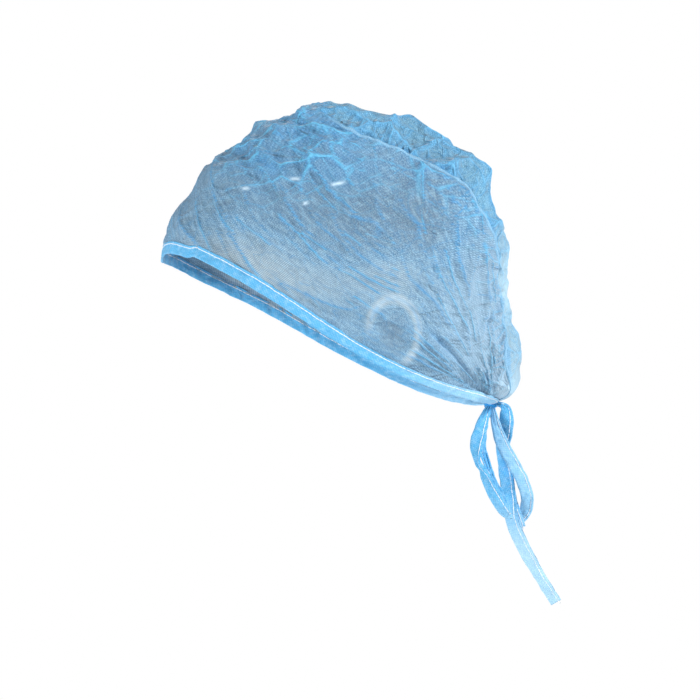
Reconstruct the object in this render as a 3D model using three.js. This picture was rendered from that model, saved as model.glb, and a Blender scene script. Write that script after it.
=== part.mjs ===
// A single-use surgical cap of spunbond cloth, tied in a bow at the nape.
// Millimetres. +Z is up, the forehead is towards -Y and the wearer's left is +X.
// The origin is where the top of the head touches the inside of the crown.
//
// The cap is one curved skin, cut into three panels that meet at seams:
//   rim_binding   the folded strip round the rim
//   side_band     the long panel that wraps nape, ear, forehead, ear, nape
//   crown_panel   the tongue over the top of the head, ending in a pouch at the nape
// The binding's ends meet in tie_knot, and run on as two loops and two tails.

import * as THREE from 'three';

const { degToRad, radToDeg, clamp, lerp, smoothstep } = THREE.MathUtils;

// ---------------------------------------------------------------- driving sizes

const WALL = 1.2;              // cloth and its loft, as a wall
const GAP = 0.3;               // between neighbouring pieces
const SEAM_GAP = 1.2;          // across the curved seam, whose two sides are faceted apart
const RIM_TILT = 24.2;         // degrees that the rim drops towards the nape
const HALF_WIDTH = 79;         // midline to the widest point of the rim
const SQUARENESS = 2.4;        // 2 is an ellipse seen from the front, more is boxier
const NAPE_SQUARENESS = 1.9;   // the same at the nape, where the cap draws in to the knot
const RIM_WAVE = 6;            // rim rises over the temples and dips behind the ears
const RIM_SAG = 6.5;           // rim hangs lower at the sides than its ends do
const HEM_HEIGHT = 6.8;        // folded binding, edge to fold
const HEM_PROUD = 0.35;        // how far the binding stands out of the panels
const HEM_DEPTH = 1.45;        // binding's wall behind the panels' outer face
const RIM_END = 176;           // degrees round the rim from the forehead to the knot's side
const CROWN_FRONT = 64;        // midline angle of the crown panel's front edge
const CROWN_BACK = 177.5;      // midline angle where the pouch is drawn in at the knot
const CROWN_CORNER = 27.5;     // degrees round the rim that the crown's front edge takes
const CROWN_DRAWN_IN = 1.5;    // degrees that the crown's end keeps clear of the band's
const TIE_THICKNESS = 1.1;

const RIM_CENTRE = new THREE.Vector3(0, -11.1, -132.5);

// The midline from the forehead's rim (0) over the top to the nape's rim (180):
// a row for each swell or dent, with its distance from the rim's centre.
const MIDLINE = [
  { angle: 0, radius: 104 },
  { angle: 8, radius: 109 },
  { angle: 20, radius: 112.5 },
  { angle: 29, radius: 118.5 },
  { angle: 41, radius: 121 },
  { angle: 48, radius: 126.5 },
  { angle: 57, radius: 128 },
  { angle: 67, radius: 133.5 },
  { angle: 80, radius: 131.5 },
  { angle: 97, radius: 131.5 },
  { angle: 110, radius: 133.5 },
  { angle: 118, radius: 124.5 },
  { angle: 130, radius: 116.5 },
  { angle: 141, radius: 109 },
  { angle: 155, radius: 107.5 },
  { angle: 180, radius: 104 },
];

// The loose pouch of the crown panel over the knot, added to the midline.
const POUCH = [
  { angle: 153, bulge: 0 },
  { angle: 158, bulge: 5 },
  { angle: 165, bulge: 9 },
  { angle: 172, bulge: 12 },
  { angle: 176, bulge: 10 },
  { angle: 180, bulge: 0 },
];
const POUCH_HALF_WIDTH = 27;

// Half the crown panel's width, as an angle off the midline.
const CROWN_SEAM = [
  { angle: 64, lean: 17 },
  { angle: 72, lean: 24 },
  { angle: 95, lean: 26 },
  { angle: 109, lean: 24.5 },
  { angle: 118, lean: 21 },
  { angle: 130, lean: 17 },
  { angle: 152, lean: 13.5 },
  { angle: 168, lean: 13 },
  { angle: 180, lean: 5 },
];

// The cloth's relief: [mm] high or long unless named otherwise.
const EAR = { back: 38, up: 5, high: 5, halfLength: 20, halfHeight: 24 };
const GATHERS = { high: 1.6, reach: 13, pitch: 7.4 };      // pitch in degrees
const NAPE_FOLDS = { high: 2.0, reach: 13, rays: 7 };      // reach in degrees

// ---------------------------------------------------------------- helpers

// Smooth value of one column of a table at an angle.
function lookUp(table, column, angle) {
  const last = table.length - 1;
  if (angle <= table[0].angle) return table[0][column];
  if (angle >= table[last].angle) return table[last][column];
  const i = table.findIndex((row) => row.angle > angle) - 1;
  const slope = (k) => {
    const a = table[Math.max(k - 1, 0)];
    const b = table[Math.min(k + 1, last)];
    return (b[column] - a[column]) / (b.angle - a.angle);
  };
  const span = table[i + 1].angle - table[i].angle;
  const t = (angle - table[i].angle) / span;
  const from = table[i][column];
  const to = table[i + 1][column];
  const t2 = t * t;
  const t3 = t2 * t;
  return (2 * t3 - 3 * t2 + 1) * from + (t3 - 2 * t2 + t) * span * slope(i)
    + (3 * t2 - 2 * t3) * to + (t3 - t2) * span * slope(i + 1);
}

// The rim's own axes: sideways, from forehead to nape along the rim, and up from it.
const SIDE = new THREE.Vector3(1, 0, 0);
const BACK = new THREE.Vector3(0, Math.cos(degToRad(RIM_TILT)), -Math.sin(degToRad(RIM_TILT)));
const UP = new THREE.Vector3(0, Math.sin(degToRad(RIM_TILT)), Math.cos(degToRad(RIM_TILT)));

const combine = (side, back, up) => new THREE.Vector3()
  .addScaledVector(SIDE, side).addScaledVector(BACK, back).addScaledVector(UP, up).normalize();

// Direction from the rim's centre by midline angle and lean off the midline, in degrees.
function towards(angle, lean) {
  const a = degToRad(angle);
  const l = degToRad(lean);
  return combine(Math.sin(l), -Math.cos(a) * Math.cos(l), Math.sin(a) * Math.cos(l));
}

// ---------------------------------------------------------------- the skin

// Folds that stand up beside the crown panel's seam, where it is gathered on.
function gathers(angle, lean) {
  const seam = lookUp(CROWN_SEAM, 'lean', angle);
  const ahead = CROWN_FRONT - angle;
  const beside = lean - seam;
  const outside = Math.hypot(Math.max(ahead, 0), Math.max(beside, 0));
  const inside = Math.min(Math.max(-ahead, 0), Math.max(-beside, 0));
  const reach = radToDeg(GATHERS.reach / MIDLINE[8].radius);
  const fade = Math.exp(-(((outside + inside) / reach) ** 2));
  const alongSeam = Math.max(-ahead, 0) + Math.min(lean, seam);
  const wave = Math.sin(2 * Math.PI * alongSeam / GATHERS.pitch)
    + 0.5 * Math.sin(2 * Math.PI * alongSeam / (GATHERS.pitch * 1.7) + 1);
  return GATHERS.high * fade * wave * (1 - smoothstep(angle, 130, 160));
}

// Folds that fan out from the knot.
function napeFolds(direction) {
  const knot = towards(180, 0);
  const far = radToDeg(Math.acos(clamp(direction.dot(knot), -1, 1))) / NAPE_FOLDS.reach;
  const round = Math.atan2(direction.dot(UP), Math.abs(direction.dot(SIDE)));
  return NAPE_FOLDS.high * far * Math.exp(1 - far) * Math.cos(2 * NAPE_FOLDS.rays * round)
    * smoothstep(far, 0.15, 0.6) * (1 - smoothstep(far, 1.5, 3.5));
}

// The ear pressed against the cloth, on both sides.
function earBump(direction) {
  const back = direction.dot(BACK) * HALF_WIDTH - EAR.back;
  const up = direction.dot(UP) * HALF_WIDTH - EAR.up;
  return EAR.high * Math.exp(-((back / EAR.halfLength) ** 2) - (up / EAR.halfHeight) ** 2);
}

// Distance from the rim's centre to the cloth's outer face.
function skinRadius(direction) {
  const side = Math.abs(direction.dot(SIDE));
  const inPlane = Math.sqrt(Math.max(1 - side * side, 0));
  const angle = radToDeg(Math.atan2(direction.dot(UP), -direction.dot(BACK)));
  const midline = angle < -90 ? 180 : clamp(angle, 0, 180);
  const squareness = lerp(SQUARENESS, NAPE_SQUARENESS, smoothstep(midline, 100, 170));
  const plain = (
    (inPlane / lookUp(MIDLINE, 'radius', midline)) ** squareness + (side / HALF_WIDTH) ** squareness
  ) ** (-1 / squareness);
  const pouch = lookUp(POUCH, 'bulge', midline)
    * Math.exp(-((side * plain / POUCH_HALF_WIDTH) ** 4));
  const lean = radToDeg(Math.asin(clamp(side, 0, 1)));
  return plain + pouch + gathers(midline, lean) + napeFolds(direction) + earBump(direction);
}

const onSkin = (direction) => direction.clone()
  .multiplyScalar(skinRadius(direction)).add(RIM_CENTRE);

// Directions of the rim's lower edge and of the band's upper edge, round the rim.
function rimEdge(round) {
  const a = degToRad(round);
  const rise = RIM_WAVE * Math.sin(2 * Math.abs(a)) - RIM_SAG * Math.sin(a) ** 2;
  const flat = combine(Math.sin(a), -Math.cos(a), 0);
  return flat.addScaledVector(UP, rise / skinRadius(flat)).normalize();
}

function bandTop(round) {
  const way = Math.abs(round);
  if (way < CROWN_CORNER) {
    return towards(CROWN_FRONT, (round / CROWN_CORNER) * CROWN_SEAM[0].lean);
  }
  const angle = lerp(CROWN_FRONT, 180, (way - CROWN_CORNER) / (180 - CROWN_CORNER));
  return towards(angle, Math.sign(round) * lookUp(CROWN_SEAM, 'lean', angle));
}

// A point between them: `up` mm above the rim's edge, or below the band's top.
function aboveRim(round, up, fromTop = false) {
  const low = rimEdge(round);
  const high = bandTop(round);
  const whole = low.angleTo(high);
  const step = up / skinRadius(fromTop ? high : low);
  const at = fromTop ? whole - step : step;
  return low.multiplyScalar(Math.sin(whole - at)).addScaledVector(high, Math.sin(at)).normalize();
}

// ---------------------------------------------------------------- walls

// A closed wall over a patch: surfaceAt(u, v) is its face, with u and v from 0 to 1,
// `proud` mm is added outwards and `depth` mm inwards.
function wall(surfaceAt, columns, rows, proud, depth) {
  const TINY = 1e-3;
  const outer = [];
  const inner = [];
  for (let i = 0; i <= columns; i += 1) {
    for (let j = 0; j <= rows; j += 1) {
      const u = clamp(i / columns, TINY, 1 - TINY);
      const v = clamp(j / rows, TINY, 1 - TINY);
      const alongU = surfaceAt(u + TINY, v).sub(surfaceAt(u - TINY, v));
      const alongV = surfaceAt(u, v + TINY).sub(surfaceAt(u, v - TINY));
      const normal = alongU.cross(alongV).normalize();
      const face = surfaceAt(i / columns, j / rows);
      outer.push(face.clone().addScaledVector(normal, proud));
      inner.push(face.clone().addScaledVector(normal, -depth));
    }
  }
  const position = [...outer, ...inner].flatMap((point) => point.toArray());
  const front = (i, j) => i * (rows + 1) + j;
  const back = (i, j) => outer.length + front(i, j);
  const index = [];
  const quad = (a, b, c, d) => index.push(a, b, c, a, c, d);
  for (let i = 0; i < columns; i += 1) {
    for (let j = 0; j < rows; j += 1) {
      quad(front(i, j), front(i + 1, j), front(i + 1, j + 1), front(i, j + 1));
      quad(back(i, j), back(i, j + 1), back(i + 1, j + 1), back(i + 1, j));
    }
    quad(front(i, 0), back(i, 0), back(i + 1, 0), front(i + 1, 0));
    quad(front(i, rows), front(i + 1, rows), back(i + 1, rows), back(i, rows));
  }
  for (let j = 0; j < rows; j += 1) {
    quad(front(0, j), front(0, j + 1), back(0, j + 1), back(0, j));
    quad(front(columns, j), back(columns, j), back(columns, j + 1), front(columns, j + 1));
  }
  const geometry = new THREE.BufferGeometry();
  geometry.setAttribute('position', new THREE.Float32BufferAttribute(position, 3));
  geometry.setIndex(index);
  geometry.computeVertexNormals();
  return geometry;
}

// ---------------------------------------------------------------- the panels

function crownPanel() {
  const halfGap = radToDeg(SEAM_GAP / 2 / MIDLINE[8].radius);
  const surfaceAt = (u, v) => {
    const angle = lerp(CROWN_FRONT + halfGap, CROWN_BACK, u);
    const lean = lookUp(CROWN_SEAM, 'lean', angle) - halfGap
      - CROWN_DRAWN_IN * smoothstep(angle, 166, 177);
    return onSkin(towards(angle, lerp(lean, -lean, v)));
  };
  return wall(surfaceAt, 48, 12, 0, WALL);
}

function sideBand() {
  const surfaceAt = (u, v) => {
    const round = lerp(-RIM_END, RIM_END, u);
    const low = aboveRim(round, HEM_HEIGHT + 1.6 * GAP);
    const high = aboveRim(round, SEAM_GAP / 2, true);
    return onSkin(low.lerp(high, v).normalize());
  };
  return wall(surfaceAt, 128, 7, 0, WALL);
}

function rimBinding() {
  const surfaceAt = (u, v) => onSkin(aboveRim(lerp(-RIM_END, RIM_END, u), HEM_HEIGHT * v));
  return wall(surfaceAt, 128, 1, HEM_PROUD, HEM_DEPTH);
}

// ---------------------------------------------------------------- the ties

// A flat tape along a route. `wide` is its width there, and `turn` is how far it is
// turned from facing sideways, in degrees about its own length.
function tape(route, steps) {
  const curve = new THREE.CatmullRomCurve3(route.map(({ x, y, z }) => new THREE.Vector3(x, y, z)));
  const rows = route.map((row, i) => ({ ...row, angle: i / (route.length - 1) }));
  const surfaceAt = (u, v) => {
    const at = clamp(u, 0, 1);
    const run = curve.getTangent(at);
    const flat = new THREE.Vector3().crossVectors(run, SIDE).normalize();
    const across = flat.applyAxisAngle(run, degToRad(lookUp(rows, 'turn', at)));
    const wide = lookUp(rows, 'wide', at);
    return curve.getPoint(at).addScaledVector(run, (u - at)).addScaledVector(across, (v - 0.5) * wide);
  };
  return wall(surfaceAt, steps, 2, TIE_THICKNESS / 2, TIE_THICKNESS / 2);
}

const LOOP_LEFT = [
  { x: 4.0, y: 82.8, z: -178.6, wide: 3.0, turn: 10 },
  { x: 10, y: 79.4, z: -186.5, wide: 7.0, turn: 15 },
  { x: 15, y: 77.0, z: -196, wide: 8.0, turn: 20 },
  { x: 18, y: 76.0, z: -205, wide: 7.8, turn: 25 },
  { x: 19, y: 77.8, z: -212.5, wide: 5.0, turn: 45 },
  { x: 19, y: 80.0, z: -220, wide: 5.0, turn: 35 },
  { x: 17, y: 84.0, z: -229, wide: 6.0, turn: 20 },
  { x: 14, y: 89.5, z: -237.5, wide: 6.5, turn: 10 },
  { x: 10, y: 94.0, z: -240.5, wide: 6.0, turn: 40 },
  { x: 7, y: 95.0, z: -235, wide: 6.0, turn: 70 },
  { x: 6, y: 91.0, z: -227, wide: 7.0, turn: 40 },
  { x: 6, y: 86.5, z: -217, wide: 8.0, turn: 25 },
  { x: 6.5, y: 83.0, z: -206.5, wide: 8.0, turn: 20 },
  { x: 6.5, y: 82.0, z: -196, wide: 6.5, turn: 25 },
  { x: 5.0, y: 83.2, z: -187, wide: 4.0, turn: 30 },
  { x: 2.6, y: 84.4, z: -179.8, wide: 2.4, turn: 30 },
];

const LOOP_RIGHT = [
  { x: 0.4, y: 86.4, z: -179.8, wide: 2.4, turn: 0 },
  { x: 1.5, y: 88.0, z: -187, wide: 5.0, turn: -5 },
  { x: 2.5, y: 90.4, z: -195.5, wide: 7.0, turn: -10 },
  { x: 1.5, y: 94.5, z: -204, wide: 7.5, turn: -15 },
  { x: 0, y: 99.5, z: -212.5, wide: 7.5, turn: -20 },
  { x: -3, y: 104, z: -221.5, wide: 7.5, turn: -20 },
  { x: -7, y: 106.6, z: -229.5, wide: 7.5, turn: -20 },
  { x: -12, y: 106.4, z: -237, wide: 7.0, turn: -10 },
  { x: -14, y: 103.0, z: -242.5, wide: 6.0, turn: 10 },
  { x: -16.5, y: 99.0, z: -243.5, wide: 6.0, turn: 40 },
  { x: -19, y: 96.5, z: -238.5, wide: 6.0, turn: 50 },
  { x: -21, y: 95.2, z: -229, wide: 7.0, turn: 40 },
  { x: -22, y: 94.2, z: -218, wide: 7.0, turn: 40 },
  { x: -20, y: 92.6, z: -206, wide: 7.0, turn: 50 },
  { x: -15, y: 91.4, z: -195.5, wide: 6.0, turn: 50 },
  { x: -8, y: 88.4, z: -186, wide: 3.6, turn: 40 },
  { x: -3.4, y: 84.8, z: -179.6, wide: 2.4, turn: 30 },
];

const LONG_TAIL = [
  { x: 0, y: 88.6, z: -175.4, wide: 2.4, turn: 0 },
  { x: -0.5, y: 91.6, z: -176.1, wide: 3.4, turn: 0 },
  { x: -1.2, y: 94.2, z: -179.2, wide: 6.5, turn: 10 },
  { x: -1.6, y: 94.5, z: -186, wide: 8.0, turn: 20 },
  { x: -1.8, y: 93.8, z: -193, wide: 8.0, turn: 20 },
  { x: -2.4, y: 92.2, z: -200, wide: 7.5, turn: 20 },
  { x: -5.0, y: 92.6, z: -207, wide: 7.0, turn: 20 },
  { x: -6.5, y: 94.0, z: -214, wide: 7.5, turn: 20 },
  { x: -6.0, y: 95.3, z: -222, wide: 8.0, turn: 20 },
  { x: -3.5, y: 95.9, z: -230, wide: 8.0, turn: 20 },
  { x: -0.4, y: 96.2, z: -237.5, wide: 8.0, turn: 25 },
  { x: 0, y: 97.6, z: -244.5, wide: 8.0, turn: 30 },
  { x: 0, y: 100.8, z: -252.5, wide: 8.0, turn: 30 },
  { x: 0, y: 106.2, z: -263, wide: 8.0, turn: 30 },
  { x: 0, y: 113.8, z: -276.5, wide: 7.0, turn: 30 },
  { x: 0, y: 122.8, z: -291.0, wide: 7.0, turn: 30 },
];

const SHORT_TAIL = [
  { x: -3.6, y: 81.4, z: -179.6, wide: 2.4, turn: 0 },
  { x: -9, y: 82.4, z: -190, wide: 5.0, turn: -15 },
  { x: -13, y: 88.0, z: -206, wide: 7.5, turn: -25 },
  { x: -11, y: 94.0, z: -222, wide: 8.0, turn: -25 },
  { x: -7, y: 97.6, z: -236, wide: 8.0, turn: -20 },
  { x: -7, y: 102.4, z: -248, wide: 7.0, turn: -20 },
];

// The knot: a small tight lump with one wrap round its waist.
const KNOT_CENTRE = new THREE.Vector3(0, 84.6, -175.0);
function tieKnot() {
  const profile = [
    [0, -3.6], [1.7, -3.2], [2.7, -1.9], [3.2, -0.9], [3.4, 0], [3.2, 0.9],
    [2.7, 1.9], [1.7, 3.2], [0, 3.6],
  ].map(([x, y]) => new THREE.Vector2(x, y));
  return new THREE.LatheGeometry(profile, 14);
}

// ---------------------------------------------------------------- the object

const spunbond = (color) => new THREE.MeshStandardMaterial({ color, roughness: 0.85, metalness: 0 });

function piece(name, geometry, color) {
  const mesh = new THREE.Mesh(geometry, spunbond(color));
  mesh.name = name;
  return mesh;
}

const cap = new THREE.Group();
cap.add(
  piece('crown_panel', crownPanel(), '#7fb6d6'),
  piece('side_band', sideBand(), '#8ab0cc'),
  piece('rim_binding', rimBinding(), '#5fb6ea'),
  piece('bow_loop_left', tape(LOOP_LEFT, 44), '#6cc0f0'),
  piece('bow_loop_right', tape(LOOP_RIGHT, 46), '#6cc0f0'),
  piece('tie_tail_long', tape(LONG_TAIL, 36), '#86cbf4'),
  piece('tie_tail_short', tape(SHORT_TAIL, 16), '#86cbf4'),
);
const knot = piece('tie_knot', tieKnot(), '#2f9fe2');
knot.rotation.x = degToRad(90);
knot.position.copy(KNOT_CENTRE);
cap.add(knot);

export default cap;
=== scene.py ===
# %% [markdown]
# # A tie-back surgical cap in spunbond cloth
# A single-use cap is three strips of very thin nonwoven cloth: a long side band, a tongue
# over the top of the head, and a folded binding that is stitched round the rim and runs on
# as ties. This lesson builds it as a garment maker would, and lets the spare cloth crumple.
# The frame holds the plain solids at their true size, and everything here fits round them.

# %% Load the frame
import math
from collections import namedtuple

import bpy
import numpy as np
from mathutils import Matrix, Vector


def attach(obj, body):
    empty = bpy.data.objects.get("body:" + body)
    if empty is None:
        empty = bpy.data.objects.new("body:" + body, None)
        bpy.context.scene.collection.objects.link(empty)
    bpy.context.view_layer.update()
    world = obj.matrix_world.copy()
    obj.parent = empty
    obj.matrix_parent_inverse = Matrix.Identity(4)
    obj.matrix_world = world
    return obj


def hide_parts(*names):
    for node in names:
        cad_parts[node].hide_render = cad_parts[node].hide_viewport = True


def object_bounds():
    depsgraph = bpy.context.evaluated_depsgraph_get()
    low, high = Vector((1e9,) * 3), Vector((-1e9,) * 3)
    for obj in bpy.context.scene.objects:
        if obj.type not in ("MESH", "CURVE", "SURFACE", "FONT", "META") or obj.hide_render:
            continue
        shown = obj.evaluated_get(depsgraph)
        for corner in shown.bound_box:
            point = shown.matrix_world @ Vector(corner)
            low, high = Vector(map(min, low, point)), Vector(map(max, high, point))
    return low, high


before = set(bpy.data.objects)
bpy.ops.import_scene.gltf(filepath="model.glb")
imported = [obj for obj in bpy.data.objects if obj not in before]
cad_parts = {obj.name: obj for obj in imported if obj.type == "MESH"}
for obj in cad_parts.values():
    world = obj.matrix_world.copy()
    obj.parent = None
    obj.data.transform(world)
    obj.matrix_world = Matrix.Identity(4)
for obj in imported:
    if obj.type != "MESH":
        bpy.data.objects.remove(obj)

cad_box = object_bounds()
MM = 0.001  # the tables below are in millimetres, and Blender works in metres
print("frame box in mm:", [[round(c / MM, 1) for c in corner] for corner in cad_box])

# %% [markdown]
# ## The skin
# A worn cap has one smooth form, the head's, with loose cloth over it. It could be sculpted,
# or draped over a head by Blender's Cloth. Here the form follows a rule: a distance from the
# rim's centre for each direction, read from short tables. The same rule made the frame's
# solids, so the finished cloth is sure to sit where they are.

# %% Sizes of the form
RIM_TILT = math.radians(24.2)  # the rim drops towards the nape
HALF_WIDTH = 79.0
SQUARENESS, NAPE_SQUARENESS = 2.4, 1.9
RIM_WAVE, RIM_SAG = 6.0, 6.5
HEM_HEIGHT = 6.8
RIM_END = 177.5  # degrees round the rim, where the band is drawn in at the knot
CROWN_FRONT = 64.0
CROWN_CORNER = 27.5
POUCH_HALF_WIDTH = 27.0
RIM_CENTRE = np.array([0, -11.1, -132.5])

SIDE = np.array([1.0, 0.0, 0.0])
BACK = np.array([0.0, math.cos(RIM_TILT), -math.sin(RIM_TILT)])
UP = np.array([0.0, math.sin(RIM_TILT), math.cos(RIM_TILT)])

# midline angle from the forehead's rim over the top to the nape's, and the distance there
MIDLINE = [
    (0, 104), (8, 109), (20, 112.5), (29, 118.5), (41, 121), (48, 126.5), (57, 128), (67, 133.5),
    (80, 131.5), (97, 131.5), (110, 133.5), (118, 124.5), (130, 116.5), (141, 109), (155, 107.5),
    (180, 104),
]
POUCH = [(153, 0), (158, 5), (165, 9), (172, 12), (176, 10), (180, 0)]
# half the crown panel's width, as an angle off the midline
CROWN_SEAM = [
    (64, 17), (72, 24), (95, 26), (109, 24.5), (118, 21), (130, 17), (152, 13.5), (168, 13),
    (180, 5),
]

# %% Helpers for tables, directions and smooth steps
def look_up(table, at):
    """Smooth curve through a table's rows of (place, value)."""
    x, y = (np.array(column, float) for column in zip(*table))
    slope = np.gradient(y, x)
    slope[1:-1] = (y[2:] - y[:-2]) / (x[2:] - x[:-2])
    at = np.clip(at, x[0], x[-1])
    i = np.clip(np.searchsorted(x, at, side="right") - 1, 0, len(x) - 2)
    span = x[i + 1] - x[i]
    t = (at - x[i]) / span
    return (
        (2 * t**3 - 3 * t**2 + 1) * y[i] + (t**3 - 2 * t**2 + t) * span * slope[i]
        + (3 * t**2 - 2 * t**3) * y[i + 1] + (t**3 - t**2) * span * slope[i + 1]
    )


def unit(vectors):
    return vectors / np.linalg.norm(vectors, axis=-1, keepdims=True)


def combine(side, back, up):
    side, back, up = np.broadcast_arrays(side, back, up)
    return unit(side[..., None] * SIDE + back[..., None] * BACK + up[..., None] * UP)


def towards(angle, lean):
    """Direction from the rim's centre by midline angle and lean off the midline."""
    a, l = np.radians(angle), np.radians(lean)
    return combine(np.sin(l), -np.cos(a) * np.cos(l), np.sin(a) * np.cos(l))


def smoothstep(value, low, high):
    t = np.clip((value - low) / (high - low), 0, 1)
    return t * t * (3 - 2 * t)


def bell(distance, reach):
    return np.exp(-((distance / reach) ** 2))


# %% The skin's rule, and the two edges of the side band
def skin_radius(direction):
    side = np.abs(direction @ SIDE)
    in_plane = np.sqrt(np.maximum(1 - side**2, 0))
    angle = np.degrees(np.arctan2(direction @ UP, -(direction @ BACK)))
    midline = np.where(angle < -90, 180, np.clip(angle, 0, 180))
    square = SQUARENESS + (NAPE_SQUARENESS - SQUARENESS) * smoothstep(midline, 100, 170)
    along = in_plane / look_up(MIDLINE, midline)
    plain = (along**square + (side / HALF_WIDTH) ** square) ** (-1 / square)
    return plain + look_up(POUCH, midline) * np.exp(-((side * plain / POUCH_HALF_WIDTH) ** 4))


def on_skin(direction):
    return direction * skin_radius(direction)[..., None] + RIM_CENTRE


FRONT_DIP = 2.2  # the rim's front hangs this much lower
ASKEW = 3.5      # the right is lower again in front and higher behind, as a cap pulled on by hand is


def rim_edge(degrees):
    a = np.radians(degrees)
    rise = RIM_WAVE * np.sin(2 * np.abs(a)) - RIM_SAG * np.sin(a) ** 2
    rise = rise - FRONT_DIP * bell(degrees, 26) - ASKEW * bell(degrees + 34, 26)
    rise = rise + ASKEW * bell(degrees + 112, 34)
    flat = combine(np.sin(a), -np.cos(a), 0 * a)
    return unit(flat + (rise / skin_radius(flat))[..., None] * UP)


def band_top(degrees):
    way = np.abs(degrees)
    front = towards(CROWN_FRONT, degrees / CROWN_CORNER * CROWN_SEAM[0][1])
    share = np.clip((way - CROWN_CORNER) / (180 - CROWN_CORNER), 0, 1)
    angle = CROWN_FRONT + (180 - CROWN_FRONT) * share
    side = towards(angle, np.sign(degrees) * look_up(CROWN_SEAM, angle))
    return np.where((way < CROWN_CORNER)[..., None], front, side)


def between(low, high, share):
    """Directions part of the way round from low to high."""
    whole = np.arccos(np.clip((low * high).sum(-1), -1, 1))[..., None]
    share = np.asarray(share)[..., None]
    return (np.sin((1 - share) * whole) * low + np.sin(share * whole) * high) / np.sin(whole)


KNOT = np.array([0.0, 84.6, -175.0])
DRAW_IN = 0.62  # share of the way to the knot that the nearest cloth is pulled
DRAW_REACH = 11.0


def drawn_to_knot(points):
    away = points - KNOT
    pull = DRAW_IN * bell(np.linalg.norm(away, axis=-1), DRAW_REACH)
    return points - away * pull[..., None]


# %% [markdown]
# ## Two pattern pieces that share one seam
# The band and the crown panel are cut flat and sewn together, so they are laid out here as
# two grids whose seam points are the same points. A grid is easy to pull about, to refine
# and to give a wall later, which a triangulated or remeshed surface is not.

# %% Lay out the grids
FRONT_CELLS, SIDE_CELLS, BAND_ROWS = 40, 112, 56
BAND_START = 5.0  # the band's cloth starts this far up, inside the folded binding

rim_front = np.linspace(-CROWN_CORNER, CROWN_CORNER, FRONT_CELLS + 1)
rim_side = np.linspace(CROWN_CORNER, RIM_END, SIDE_CELLS + 1)
rim_places = np.concatenate([-rim_side[::-1], rim_front[1:-1], rim_side])
COLUMNS = len(rim_places)

low, high = rim_edge(rim_places), band_top(rim_places)
band_angle = np.arccos(np.clip((low * high).sum(-1), -1, 1))
start_share = np.minimum(BAND_START / skin_radius(low) / band_angle, 0.4)
rows = np.linspace(0, 1, BAND_ROWS + 1)
shares = start_share[:, None] + (1 - start_share[:, None]) * rows
band_grid = drawn_to_knot(on_skin(between(low[:, None], high[:, None], shares)))
band_height = shares * (band_angle * skin_radius(high))[:, None]  # above the rim

crown_angle = CROWN_FRONT + (180 - CROWN_FRONT) * (rim_side - CROWN_CORNER) / (180 - CROWN_CORNER)
crown_lean = look_up(CROWN_SEAM, crown_angle)
across = np.linspace(-1, 1, FRONT_CELLS + 1)
crown_grid = drawn_to_knot(on_skin(towards(crown_angle, crown_lean * across[:, None])))

# one list of points: the band's first, then the crown's inner ones
band_ids = np.arange(COLUMNS * (BAND_ROWS + 1)).reshape(COLUMNS, BAND_ROWS + 1)
seam_ids = band_ids[:, -1]
inner_ids = band_ids.size + np.arange((FRONT_CELLS - 1) * SIDE_CELLS)
crown_ids = np.zeros((FRONT_CELLS + 1, SIDE_CELLS + 1), int)
crown_ids[1:-1, 1:] = inner_ids.reshape(-1, SIDE_CELLS)
crown_ids[0] = seam_ids[: SIDE_CELLS + 1][::-1]
crown_ids[-1] = seam_ids[-SIDE_CELLS - 1:]
crown_ids[:, 0] = seam_ids[SIDE_CELLS: SIDE_CELLS + FRONT_CELLS + 1]
form = np.concatenate([band_grid.reshape(-1, 3), crown_grid[1:-1, 1:].reshape(-1, 3)])
print("pattern grids:", band_grid.shape, crown_grid.shape, "points in all:", len(form))

# %% How far each point is from the seam, the rim and the knot
MM_PER_DEGREE = math.pi / 180 * 131  # along the crown


def per_point(on_band, on_crown):
    """One value for each point, from a value over each grid. The seam takes the band's."""
    values = np.zeros(len(form))
    values[crown_ids] = on_crown
    values[band_ids] = on_band
    return values


from_sides = (1 - np.abs(across[:, None])) * crown_lean * MM_PER_DEGREE
from_front = (crown_angle - CROWN_FRONT) * MM_PER_DEGREE + 0 * from_sides
crown_from_seam = np.minimum(from_sides, from_front)
band_from_seam = band_height[:, -1:] - band_height
to_seam = per_point(band_from_seam, crown_from_seam)
to_rim = per_point(band_height - BAND_START, 200)
to_knot = np.linalg.norm(form - KNOT, axis=1)
on_crown = per_point(0, 1) > 0

# %% [markdown]
# ## Crumpling
# The cap is cut bigger than the head and gathered along the seam, so there is spare cloth,
# and it buckles. Blender's Cloth is the usual way. One short trial of it on a net like this,
# of 30 frames, took over a minute and a half and showed no folds, and its settings were not
# explored further. Springs of the same kind are short to write with NumPy: each link of the
# grid wants to be a little longer than the form gives it room for, and moving the points a
# little at a time towards that makes low, soft folds by itself. The sharp creases come in a
# later cell. The result is the same on every run, because the small unevenness that the
# folds start from has a fixed seed.

# %% Spare cloth, as a share of its own length
Spare = namedtuple("Spare", "along_rim up_from_rim")
EVERYWHERE = Spare(0.004, 0.004)
AT_SEAM = Spare(0.040, 0.016)
TOP_FRONT = Spare(0.045, 0.040)
AT_NAPE = Spare(0.03, 0.06)
CROWN_SHARE, CROWN_MORE = 0.4, 0.005  # the crown has this share of the band's, and this much more


def spare_cloth():
    """One value for each point along the rim, and one up from it."""
    y, z = form[:, 1], form[:, 2]
    gathered = bell(to_seam, 17) * (1 - 0.5 * smoothstep(y, 84, 96))
    top_front = np.exp(-(((y + 24) / 34) ** 2) - ((z + 28) / 22) ** 2)
    nape = bell(to_knot, 42) * (1 - on_crown)
    both = []
    for plain, seam, top, rear in zip(EVERYWHERE, AT_SEAM, TOP_FRONT, AT_NAPE):
        spare = plain + seam * gathered
        spare = np.where(on_crown, CROWN_SHARE * spare + CROWN_MORE, spare)
        both.append(np.max([spare, top * top_front, rear * nape], axis=0))
    return both


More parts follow.
